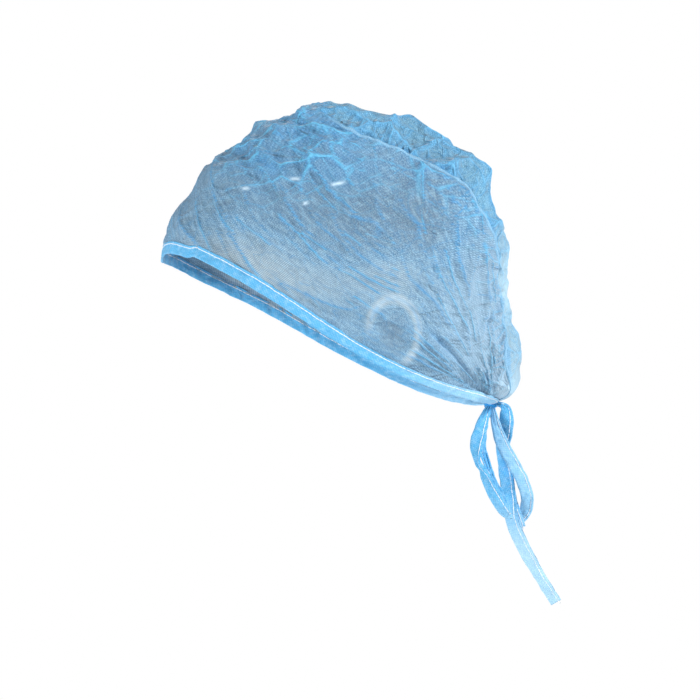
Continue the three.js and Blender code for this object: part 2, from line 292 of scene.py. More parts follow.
print("spare cloth at most:", [round(float(spare.max()), 3) for spare in spare_cloth()])

# %% Links between the points, like the springs of a net
# next neighbours hold the cloth's length, and far ones stiffen it against sharp bends
Link = namedtuple("Link", "along up stiffness")
LINKS = [
    Link(1, 0, 1.0), Link(0, 1, 1.0), Link(1, 1, 0.8), Link(1, -1, 0.8),
    Link(2, 0, 0.4), Link(0, 2, 0.4), Link(4, 0, 0.16), Link(0, 4, 0.16),
]


def links(step_along, step_up):
    """Pairs of points that are so many cells apart, over both grids."""
    pairs = []
    for ids in (band_ids, crown_ids):
        first = ids[: ids.shape[0] - step_along]
        second = ids[step_along:]
        if step_up > 0:
            first, second = first[:, :-step_up], second[:, step_up:]
        if step_up < 0:
            first, second = first[:, -step_up:], second[:, :step_up]
        pairs.append(np.stack([first.ravel(), second.ravel()], 1))
    return np.concatenate(pairs)


def gather_ends(i, j, at_i, at_j):
    """Adds up, for each point, the values that its links bring to it."""
    return np.bincount(i, at_i, len(form)) + np.bincount(j, at_j, len(form))


def even_noise(pairs, passes, seed):
    """Random heights smoothed over the links, with a spread of one."""
    value = np.random.default_rng(seed).normal(size=len(form))
    i, j = pairs.T
    count = gather_ends(i, j, np.ones(len(i)), np.ones(len(i)))
    for _ in range(passes):
        value = 0.5 * value + 0.5 * gather_ends(i, j, value[j], value[i]) / count
    return value / value.std()


near_links = np.concatenate([links(1, 0), links(0, 1)])
print("links to next neighbours:", len(near_links))

# %% Let the cloth find its folds
START_NOISE = 0.6
DEEPEST, HIGHEST = -1.6, 3.0
RELAX_STEPS = 300
STEP = 2.2


def crumple_cloth():
    along, up = spare_cloth()
    outward = unit(form - RIM_CENTRE)
    loose = np.clip(to_rim / 9, 0, 1)
    springs = []
    weight = np.zeros(len(form))
    for link in LINKS:
        i, j = links(link.along, link.up).T
        share = link.along / (link.along + abs(link.up))
        spare = share * (along[i] + along[j]) / 2 + (1 - share) * (up[i] + up[j]) / 2
        length = np.linalg.norm(form[i] - form[j], axis=1) * (1 + spare)
        springs.append((i, j, length, link.stiffness))
        weight += gather_ends(i, j, np.full(len(i), link.stiffness), np.full(len(i), link.stiffness))
    points = form + outward * (START_NOISE * even_noise(near_links, 12, 3) * loose)[:, None]
    for _ in range(RELAX_STEPS):
        move = np.zeros_like(points)
        for i, j, length, stiffness in springs:
            apart = points[j] - points[i]
            now = np.maximum(np.linalg.norm(apart, axis=1), 1e-6)
            pull = (0.5 * stiffness * (now - length) / now)[:, None] * apart
            for axis in range(3):
                move[:, axis] += gather_ends(i, j, pull[:, axis], -pull[:, axis])
        points += STEP * (loose / weight)[:, None] * move
        offset = points - form
        rise = (offset * outward).sum(1)
        slide = offset - rise[:, None] * outward
        points = form + outward * np.clip(rise * 0.995, DEEPEST, HIGHEST)[:, None] + slide * 0.98
    return points


crumpled = crumple_cloth()
print("folds stand out by mm (5%, half, 95%):",
      np.percentile(((crumpled - form) * unit(form - RIM_CENTRE)).sum(1), [5, 50, 95]).round(2))

# %% [markdown]
# ## Finer grids and creases made by rule
# The relaxed grid has cells of about 2 mm. It is refined with smooth curves through its
# points, and then gets the creases that nonwoven cloth keeps from its packing: flat facets
# with sharp edges, like paper that was folded again and again and opened out. Sculpting or a
# displacement texture could make them too, but a rule in millimetres can be run again, and
# the same lines can then tell the colour where the cloth is folded double.

# %% Refine a grid
def resample(grid, cells, axis):
    """Catmull-Rom curves through a grid's points, read at evenly spaced places."""
    grid = np.moveaxis(grid, axis, 0)
    last = grid.shape[0] - 1
    place = np.linspace(0, last, cells + 1)
    i = np.minimum(place.astype(int), last - 1)
    t = (place - i).reshape((-1,) + (1,) * (grid.ndim - 1))
    p0, p1 = grid[np.maximum(i - 1, 0)], grid[i]
    p2, p3 = grid[i + 1], grid[np.minimum(i + 2, last)]
    fine = 0.5 * (
        2 * p1 + (p2 - p0) * t + (2 * p0 - 5 * p1 + 4 * p2 - p3) * t**2
        + (3 * p1 - p0 - 3 * p2 + p3) * t**3
    )
    return np.moveaxis(fine, 0, axis)


def refine(grid, cells):
    return resample(resample(grid, cells[0], 0), cells[1], 1)


def facing(grid):
    """Unit normals of a grid, pointing away from the inside."""
    normal = np.cross(np.gradient(grid, axis=0), np.gradient(grid, axis=1))
    return unit(normal + 1e-12)


# %% Noise and flat facets on a sheet, in millimetres
TABLE = 64  # the random numbers repeat after this many cells


def noise(u, v, size, seed):
    """Smooth noise between about -1 and 1 whose lumps are `size` mm across."""
    table = np.random.default_rng(seed).uniform(-1, 1, (TABLE, TABLE))
    x, y = u / size, v / size
    i, j = np.floor(x).astype(int), np.floor(y).astype(int)
    s, t = x - i, y - j
    s, t = s * s * (3 - 2 * s), t * t * (3 - 2 * t)

    def corner(a, b):
        return table[(i + a) % TABLE, (j + b) % TABLE]

    low_side = corner(0, 0) * (1 - s) + corner(1, 0) * s
    high_side = corner(0, 1) * (1 - s) + corner(1, 1) * s
    return low_side * (1 - t) + high_side * t


def facets(u, v, size, seed):
    """Random heights on uneven triangles, straight in between: flat facets, sharp edges."""
    table = np.random.default_rng(seed).uniform(-1, 1, (TABLE, TABLE))
    x = u / size + 0.5 * noise(u, v, 1.7 * size, seed + 1)
    y = v / size + 0.5 * noise(u, v, 1.7 * size, seed + 2)
    x, y = x + 0.577 * y, 1.155 * y  # squares sheared into even triangles
    i, j = np.floor(x).astype(int), np.floor(y).astype(int)
    s, t = x - i, y - j

    def corner(a, b):
        return table[(i + a) % TABLE, (j + b) % TABLE]

    more, less = np.maximum(s, t), np.minimum(s, t)
    beside = np.where(s > t, corner(1, 0), corner(0, 1))
    return corner(0, 0) * (1 - more) + beside * (more - less) + corner(1, 1) * less


def folded_facets(u, v, size, seed, steep, floor):
    """Facets folded up along their middle height: ridges of sharp edges over a flat floor."""
    value = np.abs(facets(u, v, size, seed))
    return np.maximum(steep * (0.22 - value), floor)


def come_and_go(u, v, size, seed, share):
    """0 to 1: where a fold that starts and stops is there, over about that share of its length."""
    return smoothstep(noise(u, v, 1.6 * size, seed + 7), 0.4 - 1.2 * share, 1.0 - 1.2 * share)


# %% Cells like those of crumpled paper
def cells(u, v, size, seed):
    """Scattered points' cells: distance in mm to the nearest point, and to the edge of its cell."""
    table = np.random.default_rng(seed).uniform(0.08, 0.92, (TABLE, TABLE, 2))
    x = u / size + 0.35 * noise(u, v, 1.3 * size, seed + 1)
    y = v / size + 0.35 * noise(u, v, 1.3 * size, seed + 2)
    i, j = np.floor(x).astype(int), np.floor(y).astype(int)
    spots = np.stack([
        table[(i + a) % TABLE, (j + b) % TABLE] + np.stack([i + a, j + b], -1)
        for a in (-1, 0, 1) for b in (-1, 0, 1)
    ])
    away = np.linalg.norm(spots - np.stack([x, y], -1), axis=-1)
    order = np.argsort(away, axis=0)[:2]
    near, next_near = np.take_along_axis(away, order, 0)
    apart = np.take_along_axis(spots, order[..., None], 0)
    gap = np.linalg.norm(apart[1] - apart[0], axis=-1)
    return near * size, (next_near**2 - near**2) / (2 * gap) * size


def tented(near, size, high):
    """Cloth hung over the edges of such cells: sharp ridges, hollow between them."""
    return high * (np.minimum(near / size, 0.9) ** 2 - 0.25)


# %% Crest lines, and softening
def crest_away(value, grid, least):
    """Signed distance in mm to where the value is zero, over a grid of points."""
    slope = 0
    for axis in (0, 1):
        cell = np.linalg.norm(np.gradient(grid, axis=axis), axis=-1)
        slope = slope + (np.gradient(value, axis=axis) / cell) ** 2
    return np.clip(value / np.maximum(np.sqrt(slope), least), -6, 6)


def crest_line(away, wide):
    return np.clip(1 - np.abs(away) / wide, 0, 1)


def soften(grid):
    """Rounds off what is sharper than the grid's own cells."""
    for axis in (0, 1):
        width = [(1, 1) if a == axis else (0, 0) for a in range(grid.ndim)]
        padded = np.moveaxis(np.pad(grid, width, mode="edge"), axis, 0)
        grid = np.moveaxis(0.25 * padded[:-2] + 0.5 * padded[1:-1] + 0.25 * padded[2:], 0, axis)
    return grid


def sharpness(grid):
    """How much each point stands out of its neighbours: ridges towards 1, valleys -1."""
    padded = np.pad(grid, ((1, 1), (1, 1), (0, 0)), mode="edge")
    around = padded[:-2, 1:-1] + padded[2:, 1:-1] + padded[1:-1, :-2] + padded[1:-1, 2:]
    return np.clip(((grid - around / 4) * facing(grid)).sum(-1) / 0.30, -1, 1)

# %% Folds listed one by one between the ear and the nape
Fold = namedtuple("Fold", "y z to_y to_z bow wide high")
# one row for each fold on the wearer's left, which is mirrored with a change on the right
NAPE_FOLDS = [
    Fold(46, -136, 83, -174, 1.0, 2.6, -2.2),
    Fold(44, -141, 81, -173, 1.5, 2.6, 1.0),
    Fold(52, -136, 83, -170, -1.0, 2.2, 1.3),
    Fold(60, -162, 83, -173, 0.8, 1.5, -1.2),
    Fold(66, -160, 83, -172, 0.0, 1.6, 0.9),
    Fold(77, -155, 83, -173, 1.0, 1.6, 1.5),
    Fold(81, -150, 85, -172, 0.6, 1.5, -1.1),
    Fold(75, -132, 89, -130, 3.0, 1.2, 1.2),
    Fold(75, -134, 88, -133, 2.6, 1.3, -0.9),
    Fold(74, -116, 84, -119, 2.0, 1.0, 0.9),
    Fold(69, -121, 70, -146, -1.6, 1.2, 0.9),
    Fold(71, -122, 73, -145, -1.6, 1.3, -0.6),
    Fold(82, -137, 90, -149, -1.2, 1.1, 0.9),
    Fold(63, -96, 68, -122, 1.2, 1.0, 0.6),
    Fold(56, -104, 64, -132, 1.4, 1.0, 0.6),
    Fold(79, -98, 84, -132, -0.8, 1.2, 0.7),
    Fold(85, -92, 88, -128, -0.6, 1.1, -0.6),
    Fold(50, -60, 66, -92, 2.0, 1.1, 0.5),
    Fold(38, -84, 58, -122, 2.5, 1.1, 0.45),
]
MIRROR_SHIFT = (2.5, 1.5)  # mm back and up, so that the two sides differ


def laid_folds(points, folds, mirrored=0.0):
    """Height of the folds, each a ridge or a valley that is steeper on one side."""
    y, z = points[..., 1] + MIRROR_SHIFT[0] * mirrored, points[..., 2] + MIRROR_SHIFT[1] * mirrored
    height = np.zeros(y.shape)
    for fold in folds:
        run = np.array([fold.to_y - fold.y, fold.to_z - fold.z])
        long = np.hypot(*run)
        run = run / long
        t = ((y - fold.y) * run[0] + (z - fold.z) * run[1]) / long
        inside = np.clip(t, 0, 1)
        off = (z - fold.z) * run[0] - (y - fold.y) * run[1] - fold.bow * 4 * inside * (1 - inside)
        past = (t - inside) * long
        wide = np.where(off > 0, 1.5, 0.8) * fold.wide
        profile = np.exp(-np.sqrt(off**2 + 0.16) / wide - (past / 3.0) ** 2)
        ends = smoothstep(t, -0.1, 0.25) * (1 - 0.6 * smoothstep(t, 0.8, 1.1))
        height += fold.high * profile * ends
    return height


# %% The ear under the cloth
# The cloth follows the top of each ear: a round ridge with a shallow hollow inside it.
EAR_Y, EAR_Z, EAR_WIDE, EAR_TALL = 27.0, -138.5, 14.0, 18.5
BESIDE_HEAD = 40.0  # the ears are further out than this


def ear_ring(points):
    """How far out from the ear's middle, with 1 on its outline, and a mask of the upper part."""
    y, z = (points[..., 1] - EAR_Y) / EAR_WIDE, (points[..., 2] - EAR_Z) / EAR_TALL
    return np.hypot(y, z), smoothstep(z + 0.7 * y, -1.0, 0.0)


def helix(points):
    """The ear's rim, 0 to 1."""
    ring, upper = ear_ring(points)
    return bell(ring - 1, 0.13) * upper * (np.abs(points[..., 0]) > BESIDE_HEAD)


def ear_relief(points):
    ring, _ = ear_ring(points)
    broad = 2.4 * np.exp(-((points[..., 1] - 25) / 22) ** 2 - ((points[..., 2] + 138) / 26) ** 2)
    hollow = -1.4 * bell(ring, 0.6)
    return (broad + hollow) * (np.abs(points[..., 0]) > BESIDE_HEAD) + 1.6 * helix(points)


# %% [markdown]
# ## Tone: painted shade and light
# One layer of this cloth is thin enough to see through, so it looks greyer where it lies
# close on something dark and paler where it stands off or light comes from behind. Real
# transparency would show only an empty cap here, so this shade and light are painted: the
# tone is worked out for each point and carried to the material as named values, which is
# also quicker to render.

# %% Where the cloth gets painted shade or painted light, and where it is doubled
Fleck = namedtuple("Fleck", "y z long tilt")
# short pale flecks where the fibres clumped: middle, length and tilt in degrees
FLECKS = [
    Fleck(-56, -56.5, 4.0, 5), Fleck(-28, -51.5, 5.0, -4), Fleck(-4, -54.5, 7.5, 12),
    Fleck(-22, -66, 3.0, 20),
]
FLECK_HALF_WIDTH = 0.9
Shade = namedtuple("Shade", "y z wide tall amount")
# patches of painted shade where the amount is above 0, and of painted light where it is below: middle,
# width, height and amount
SHADES = [
    Shade(-24, -34, 46, 14, 0.5), Shade(-10, -64, 58, 26, 0.95), Shade(-72, -58, 26, 26, 0.2),
    Shade(48, -66, 20, 36, 0.75), Shade(8, -90, 26, 16, 0.4),
    Shade(-64, -96, 34, 20, -1.0), Shade(-30, -112, 44, 15, -0.65), Shade(26, -106, 20, 12, -0.75),
    Shade(82, -104, 24, 34, -0.8), Shade(93, -160, 22, 24, -1.0), Shade(60, -148, 24, 20, 0.1),
]


def fleck_mask(points):
    mask = np.zeros(points.shape[:2])
    for fleck_and_painted_light in FLECKS:
        tilt = math.radians(fleck_and_painted_light.tilt)
        y, z = points[..., 1] - fleck_and_painted_light.y, points[..., 2] - fleck_and_painted_light.z
        along = y * math.cos(tilt) + z * math.sin(tilt)
        off = z * math.cos(tilt) - y * math.sin(tilt)
        mask += np.exp(-((2 * along / fleck_and_painted_light.long) ** 4) - (off / FLECK_HALF_WIDTH) ** 2)
    return mask * (points[..., 0] > 0)


def painted_shade_and_light(points):
    """Painted shade and light: -1 is painted light, pale, and 1 is painted shade, greyish."""
    y, z = points[..., 1], points[..., 2]
    total = -2.0 * helix(points)
    for shade in SHADES:
        beside, above = (y - shade.y) / shade.wide, (z - shade.z) / shade.tall
        total = total + shade.amount * np.exp(-(beside**2) - above**2)
    ring, _ = ear_ring(points)
    total = total + 0.9 * bell(ring, 0.55) * (np.abs(points[..., 0]) > BESIDE_HEAD)
    return np.clip(total, -1, 1)


def painted_backlight(points):
    """Painted light on the nape, the pouch and the rear edge, where the cloth stands off and light comes
    through.
    """
    y, z = points[..., 1], points[..., 2]
    underside = 0.6 * smoothstep(y, 82, 92) * bell(z + 171, 14)
    nape = 0.18 * smoothstep(y, 36, 62) * smoothstep(-z, 84, 136) * smoothstep(z, -174, -142)
    rear_edge = 0.6 * smoothstep(y, 82, 96) * bell(z + 108, 26)
    return np.max([underside, nape, rear_edge], axis=0)


def near_knot(points, reach=24):
    """1 at the knot, where pleats lie on each other, fading out in `reach` mm."""
    return bell(np.linalg.norm(points - KNOT, axis=-1), reach)


# %% Finish the side band
BAND_CELLS = (528, 88)
CONE_RADIUS = 224.0  # the band is near a cone, which unrolls to a ring of this radius
MM_PER_RIM_DEGREE = 1.85
SLANT = math.radians(36)  # the front's creases lie a little steeper than the hem
FAN_WIDTH, FAN_APART = 75.0, 500.0  # mm for each radian round the knot; between the two sides

# facets drawn out along a crease's run by `stretch`, and their share close to the knot
Facets = namedtuple("Facets", "stretch size seed steep floor share at_knot")
REAR_FACETS = [Facets(3.0, 11, 93, 6.5, -0.8, 1.0, 0.2), Facets(4.0, 5.5, 94, 3.4, -0.4, 0.25, 0.0)]
FRONT_FACETS = [Facets(2.5, 15, 95, 5.5, -0.8, 1.0, 1.0), Facets(3.0, 7, 96, 3.6, -0.4, 0.5, 1.0)]

Panel = namedtuple("Panel", "points u v values")


def running_crests(grid, run_x, run_y, behind):
    """Crest lines that run with the creases: how far away each is, and how much of it is there."""
    size, seed = 6, 61
    aside = facets(run_x + 0.3, run_y, size, seed) - facets(run_x - 0.3, run_y, size, seed)
    ahead = facets(run_x, run_y + 0.3, size, seed) - facets(run_x, run_y - 0.3, size, seed)
    lies_across = np.abs(np.where(behind, ahead, aside))
    lies_along = np.abs(np.where(behind, aside, ahead))
    there = np.where(behind, 0.8, 0.5) * come_and_go(run_x, run_y, size, seed, 0.65)
    there *= smoothstep(lies_along / (lies_along + lies_across + 1e-9), 0.35, 0.7)
    return crest_away(facets(run_x, run_y, size, seed), grid, 0.02), there


def finish_band():
    grid = refine(crumpled[band_ids], BAND_CELLS)
    u = resample(rim_places * MM_PER_RIM_DEGREE, BAND_CELLS[0], 0)[:, None] + 0 * grid[..., 0]
    v = refine(band_height, BAND_CELLS)
    flat_u = (CONE_RADIUS - v) * np.sin(u / CONE_RADIUS)
    flat_v = CONE_RADIUS - (CONE_RADIUS - v) * np.cos(u / CONE_RADIUS)
    seam = refine(band_from_seam, BAND_CELLS)
    knot = np.linalg.norm(grid - KNOT, axis=-1)
    x, y, z = np.moveaxis(grid, -1, 0)

    # the rear's creases run towards the knot, so they are laid out by distance and angle from it
    reach = np.hypot(y - KNOT[1], z - KNOT[2])
    fan = np.arctan2(z - KNOT[2], KNOT[1] - y) * FAN_WIDTH + FAN_APART * (u > 0)
    along = y * math.cos(SLANT) - z * math.sin(SLANT)
    aside = z * math.cos(SLANT) + y * math.sin(SLANT) + 0.6 * x

    # how much each kind of crease shows
    top = np.exp(-(((y + 24) / 50) ** 2) - ((z + 27) / 28) ** 2)
    beside_seam = bell(seam, 20)
    quiet_nape = smoothstep(knot, 8, 26)
    spread = smoothstep(reach, 14, 55)
    rear = smoothstep(y, 20, 52) * smoothstep(knot, 6, 20)
    front = 1 - smoothstep(y, 16, 46)
    either = smoothstep(np.abs(rear - front), 0.1, 0.6)
    busy = np.maximum(top, 0.5 * beside_seam) * quiet_nape

    near_a, crest_a = cells(flat_u, flat_v, 15, 11)
    near_b, crest_b = cells(flat_u, flat_v, 8, 21)
    keep_a = come_and_go(flat_u, flat_v, 8, 31, 0.95)
    keep_b = come_and_go(flat_u, flat_v, 5, 33, 0.8)
    run_x = np.where(rear > front, fan, along / 3.5)
    run_y = np.where(rear > front, reach / 4.5, aside)
    crest_c, gate_c = running_crests(grid, run_x, run_y, rear > front)
    gate_c = gate_c * either * quiet_nape
    gathers = beside_seam * quiet_nape * crest_line(crest_away(facets(u, 0.35 * v, 6, 51), grid, 0.05), 1.5)
    gathers = gathers * come_and_go(u, 0.35 * v, 6, 51, 0.5) * (1 - 0.5 * top)

    height = busy * (tented(near_a, 15, 7.0) + folded_facets(flat_u, flat_v, 19, 12, 8.0, -0.6))
    height += busy * keep_b * tented(near_b, 8, 3.4)
    height += busy * 0.9 * keep_a * crest_line(crest_a, 1.8)
    height += busy * 0.45 * keep_b * crest_line(crest_b, 1.6)
    height += 1.5 * gate_c * crest_line(crest_c, 1.9) + 1.0 * gathers
    height += 0.35 * noise(u, v, 13, 91) + 0.15 * noise(u, v, 6, 92)
    for row in REAR_FACETS:
        there = rear * row.share * (row.at_knot + (1 - row.at_knot) * spread)
        height += there * folded_facets(fan, reach / row.stretch, row.size, row.seed, row.steep, row.floor)
    for row in FRONT_FACETS:
        there = front * row.share
        height += there * folded_facets(along / row.stretch, aside, row.size, row.seed, row.steep, row.floor)
    folds = np.where(x > 0, laid_folds(grid, NAPE_FOLDS), laid_folds(grid, NAPE_FOLDS, mirrored=1.0))

    # flat at the binding and at the seam, where stitches hold it
    height = (height + ear_relief(grid)) * smoothstep(v, BAND_START + 1.5, BAND_START + 9)
    height = height + 1.7 * folds * smoothstep(v, BAND_START + 0.5, BAND_START + 5)
    height *= smoothstep(seam, 0.0, 4.0)
    height += top * (soften(height) - height)
    points = grid + height[..., None] * facing(grid)
    values = {
        "crest_a": crest_a,
        "gate_a": np.clip(1.5 * busy, 0, 1) * (0.3 + 0.7 * keep_a),
        "crest_b": crest_b,
        "gate_b": np.clip(1.2 * busy, 0, 1) * keep_b,
        "crest_c": crest_c,
        "gate_c": gate_c,
        "busy": np.maximum(busy, 0.34 + 0.2 * rear),
        "run_x": run_x,
        "run_y": run_y,
        "run": either * (0.5 + 0.15 * rear) * spread,
        "fold": np.maximum(sharpness(points), 0.7 * smoothstep(height - ear_relief(grid), 0.8, 2.8)),
        # painted shade and painted light, from the patches above and the ear
        "painted_shade_and_light": painted_shade_and_light(points),
        # pale flecks where the fibres clumped, with painted light behind and on the ear's rim
        "fleck_and_painted_light": np.max([fleck_mask(points), painted_backlight(points), 0.32 * helix(points)], axis=0),
        "layers": np.max([
            0.4 * bell(seam, 1.6),
            0.7 * near_knot(points),
            0.6 * near_knot(points, 42),
            0.25 * smoothstep(points[..., 1], 45, 80),
            # painted shade: deeper blue where the cloth turns from the sides towards up, down, front or back
            0.45 * smoothstep(1 - np.abs(facing(points)[..., 0]), 0.4, 0.95),
            0.7 * np.clip(np.abs(folds) / 1.4, 0, 1),
            0.9 * top * (0.7 + 0.5 * noise(flat_u, flat_v, 14, 207)),
        ], axis=0),
    }
    return Panel(points, flat_u, flat_v, values)


band = finish_band()
print("side band's fine grid:", band.points.shape)

# %% Finish the crown
CROWN_CELLS = (110, 280)
ALLOWANCE_SHOWS = (3.6, 6.2)  # mm from the seam, where the turned-in edges end


def finish_crown():
    grid = refine(crumpled[crown_ids], CROWN_CELLS)
    u = refine(across[:, None] * crown_lean * MM_PER_DEGREE, CROWN_CELLS)
    v = resample((crown_angle - CROWN_FRONT) * MM_PER_DEGREE, CROWN_CELLS[1], 0) + 0 * u
    seam = refine(crown_from_seam, CROWN_CELLS)
    knot = np.linalg.norm(grid - KNOT, axis=-1)
    quiet = smoothstep(knot, 6, 26) * (1 - 0.6 * smoothstep(v, 190, 250))
    near_a, crest_a = cells(u, v, 26, 131)
    near_b, crest_b = cells(u, v, 12, 141)
    keep_a, keep_b = come_and_go(u, v, 12, 135, 0.85), come_and_go(u, v, 8, 145, 0.7)
    height = tented(near_a, 26, 5.0) + keep_b * tented(near_b, 12, 3.4)
    height += folded_facets(u, v, 30, 161, 5.0, -1.0) + 0.3 * noise(u, v, 15, 151)
    height += 0.8 * keep_a * crest_line(crest_a, 2.2)

    # short wrinkles square to the seam, where the crown is gathered into it
    gathered = bell(seam - 3, 15)
    height += gathered * folded_facets(0.45 * u, v, 9, 171, 5.5, -0.6)
    crest_c = crest_away(facets(0.45 * u, v, 9, 171), grid, 0.05)
    gate_c = 0.7 * gathered * quiet * come_and_go(0.45 * u, v, 8, 175, 0.6)

    flat_at_seam = smoothstep(seam, 0, 4.0) * (1.4 - 0.5 * bell(u, 16))
    height = soften((height - 0.4) * quiet * flat_at_seam)
    points = grid + height[..., None] * facing(grid)
    values = {
        "crest_a": crest_a,
        "gate_a": quiet * (0.25 + 0.6 * keep_a),
        "crest_b": crest_b,
        "gate_b": 0.6 * quiet * keep_b,
        "crest_c": crest_c,
        "gate_c": gate_c,
        "busy": 0.8 * quiet,
        "run_x": u,
        "run_y": v / 3,
        "run": 0.4 * quiet,
        "fold": np.maximum(sharpness(points), 0.6 * smoothstep(height, 0.8, 3.0)),
        # painted shade and painted light, as on the band
        "painted_shade_and_light": painted_shade_and_light(points),
        # painted light behind, where the cloth stands off
        "fleck_and_painted_light": painted_backlight(points),
        "layers": np.maximum(0.65 * (1 - smoothstep(seam, *ALLOWANCE_SHOWS)), 0.7 * near_knot(points)),
    }
    return Panel(points, u, v, values)


crown = finish_crown()
print("crown's fine grid:", crown.points.shape)

# %% [markdown]
# ## From a grid to cloth with two faces
# A sheet without thickness has no inside, and the inside of a cap shows. Solidify gives each
# grid a wall, inwards, so that the outer face keeps its place. The flat place of each point
# goes into a UV map in metres, which the cloth's fine pattern follows, and the values of each
# point become attributes, which its colour follows.

# %% Make a sheet's mesh
CLOTH_WALL = 0.34  # real cloth is half as thick, but the render has to hold two faces apart


def grid_faces(ids):
    return np.stack([ids[:-1, :-1], ids[1:, :-1], ids[1:, 1:], ids[:-1, 1:]], -1).reshape(-1, 4)


def new_object(name, data):
    made = bpy.data.objects.new(name, data)
    bpy.context.scene.collection.objects.link(made)
    return made


def make_mesh(name, points, faces, uv, attributes):
    mesh = bpy.data.meshes.new(name)
    mesh.from_pydata((points * MM).tolist(), [], faces.tolist())
    layer = mesh.uv_layers.new(name="cloth")
    corners = np.zeros(len(mesh.loops), int)
    mesh.loops.foreach_get("vertex_index", corners)
    layer.data.foreach_set("uv", (uv[corners] * MM).astype(np.float32).ravel())
    for label, values in attributes.items():
        attribute = mesh.attributes.new(label, "FLOAT", "POINT")
        attribute.data.foreach_set("value", np.asarray(values, np.float32).ravel())
    mesh.shade_smooth()
    return mesh


def bake_modifiers(made):
    """Replaces an object's mesh by what its modifiers make of it."""
    graph = bpy.context.evaluated_depsgraph_get()
    mesh = bpy.data.meshes.new_from_object(made.evaluated_get(graph))
    mesh.name = made.name
    made.modifiers.clear()
    made.data = mesh
    return made


def sheet_object(name, panels, wall=CLOTH_WALL):
    """One object from one or more panels, each with a wall of its own."""
    points, faces, uv, start = [], [], [], 0
    attributes = {label: [] for label in panels[0].values}
    for panel in panels:
        size = panel.points.shape[:2]
        ids = start + np.arange(size[0] * size[1]).reshape(size)
        points.append(panel.points.reshape(-1, 3))
        faces.append(grid_faces(ids))
        uv.append(np.stack([panel.u.ravel(), panel.v.ravel()], 1))
        for label in attributes:
            attributes[label].append(np.broadcast_to(panel.values[label], size).ravel())
        start += ids.size
    joined = {label: np.concatenate(values) for label, values in attributes.items()}
    mesh = make_mesh(name, np.concatenate(points), np.concatenate(faces), np.concatenate(uv), joined)
    made = new_object(name, mesh)
    solid = made.modifiers.new("wall", "SOLIDIFY")
    solid.thickness = wall * MM
    solid.offset = -1
    bake_modifiers(made)
    print(name, "has", len(made.data.polygons), "faces")
    return made


side_band = sheet_object("side_band_cloth", [band])

# %% [markdown]
# ## The seam between band and crown
# The two panels are sewn with their edges turned in: outside there is a fine raised line, and
# inside a strip of both edges lies against the crown. The strip is one more folded sheet. Its
# points are read from the two panels' grids, a few millimetres off the seam, so that it
# follows every fold and never comes through.

# %% Read a grid between its points
def read_grid(grid, a, b):
    """A grid's values at fractional places, straight between its points."""
    a = np.clip(a, 0, grid.shape[0] - 1.001)
    b = np.clip(b, 0, grid.shape[1] - 1.001)
    i, j = a.astype(int), b.astype(int)
    s, t = a - i, b - j
    if grid.ndim == 3:
        s, t = s[..., None], t[..., None]
    low_side = grid[i, j] * (1 - s) + grid[i + 1, j] * s
    high_side = grid[i, j + 1] * (1 - s) + grid[i + 1, j + 1] * s
    return low_side * (1 - t) + high_side * t


def length_along(line):
    """Distance along a line of points, at each of them."""
    return np.concatenate([[0], np.cumsum(np.linalg.norm(np.diff(line, axis=0), axis=1))])


# %% The seam's line, in the crown's grid and in the band's
wide_cells, long_cells = CROWN_CELLS
seam_a = np.concatenate([np.zeros(long_cells), np.arange(wide_cells + 1), np.full(long_cells, wide_cells)])
back_down = np.arange(1, long_cells + 1)
seam_b = np.concatenate([back_down[::-1], np.zeros(wide_cells + 1), back_down])
crown_facing = facing(crown.points)
cell_wide = read_grid(np.abs(np.gradient(crown.u, axis=0)), seam_a, seam_b)
cell_long = read_grid(np.gradient(crown.v, axis=1), seam_a, seam_b)
seam_line = read_grid(crown.points, seam_a, seam_b)
seam_length = length_along(seam_line)

# the same places in the band's grid, whose columns are spaced differently
coarse_column = np.interp(
    np.arange(len(seam_a)),
    [0, long_cells, long_cells + wide_cells, 2 * long_cells + wide_cells],
    [0, SIDE_CELLS, SIDE_CELLS + FRONT_CELLS, 2 * SIDE_CELLS + FRONT_CELLS],
)
band_column = coarse_column * BAND_CELLS[0] / (COLUMNS - 1)
band_facing = facing(band.points)
band_rows_mm = np.linalg.norm(np.gradient(band.points, axis=1), axis=-1)
cell_high = read_grid(band_rows_mm, band_column, np.full(len(seam_a), BAND_CELLS[1]))
print("seam length in mm:", round(float(seam_length[-1]), 1))

# %% The turned-in edges
SEAM_TURNING = 5.5
SEAM_RIDGE = 0.45
Turn = namedtuple("Turn", "inset rise")
# inset from the seam and height above the face: in, out over the ridge, and in again
SEAM_PROFILE = [
    Turn(5.5, -1.05), Turn(3.5, -1.0), Turn(1.6, -0.95), Turn(0.2, -0.9), Turn(-0.9, -0.7),
    Turn(-1.5, -0.2), Turn(-1.2, 0.12), Turn(-0.5, 0.32), Turn(0.0, SEAM_RIDGE), Turn(0.6, 0.30),
    Turn(1.1, 0.06), Turn(1.2, -0.7), Turn(1.9, -1.4), Turn(3.6, -1.5), Turn(SEAM_TURNING, -1.55),
]
FRONT_RIDGE = 0.25  # in front, where the folds hide it, the ridge has this share of its height
behind_front = smoothstep(seam_line[:, 1], -14, 4)
ridge_share = FRONT_RIDGE + (1 - FRONT_RIDGE) * behind_front


def seam_row(turn):
    """The strip's points at one row of its profile, all along the seam."""
    rise = (turn.rise * (ridge_share if turn.rise > 0 else np.ones(len(seam_a))))[:, None]
    if turn.inset < 0:
        row = BAND_CELLS[1] + turn.inset / cell_high
        return read_grid(band.points, band_column, row) + rise * read_grid(band_facing, band_column, row)
    in_a, in_b = turn.inset / cell_wide, turn.inset / cell_long
    a = in_a + seam_a * (wide_cells - 2 * in_a) / wide_cells
    b = in_b + seam_b * (long_cells - in_b) / long_cells
    return read_grid(crown.points, a, b) + rise * read_grid(crown_facing, a, b)


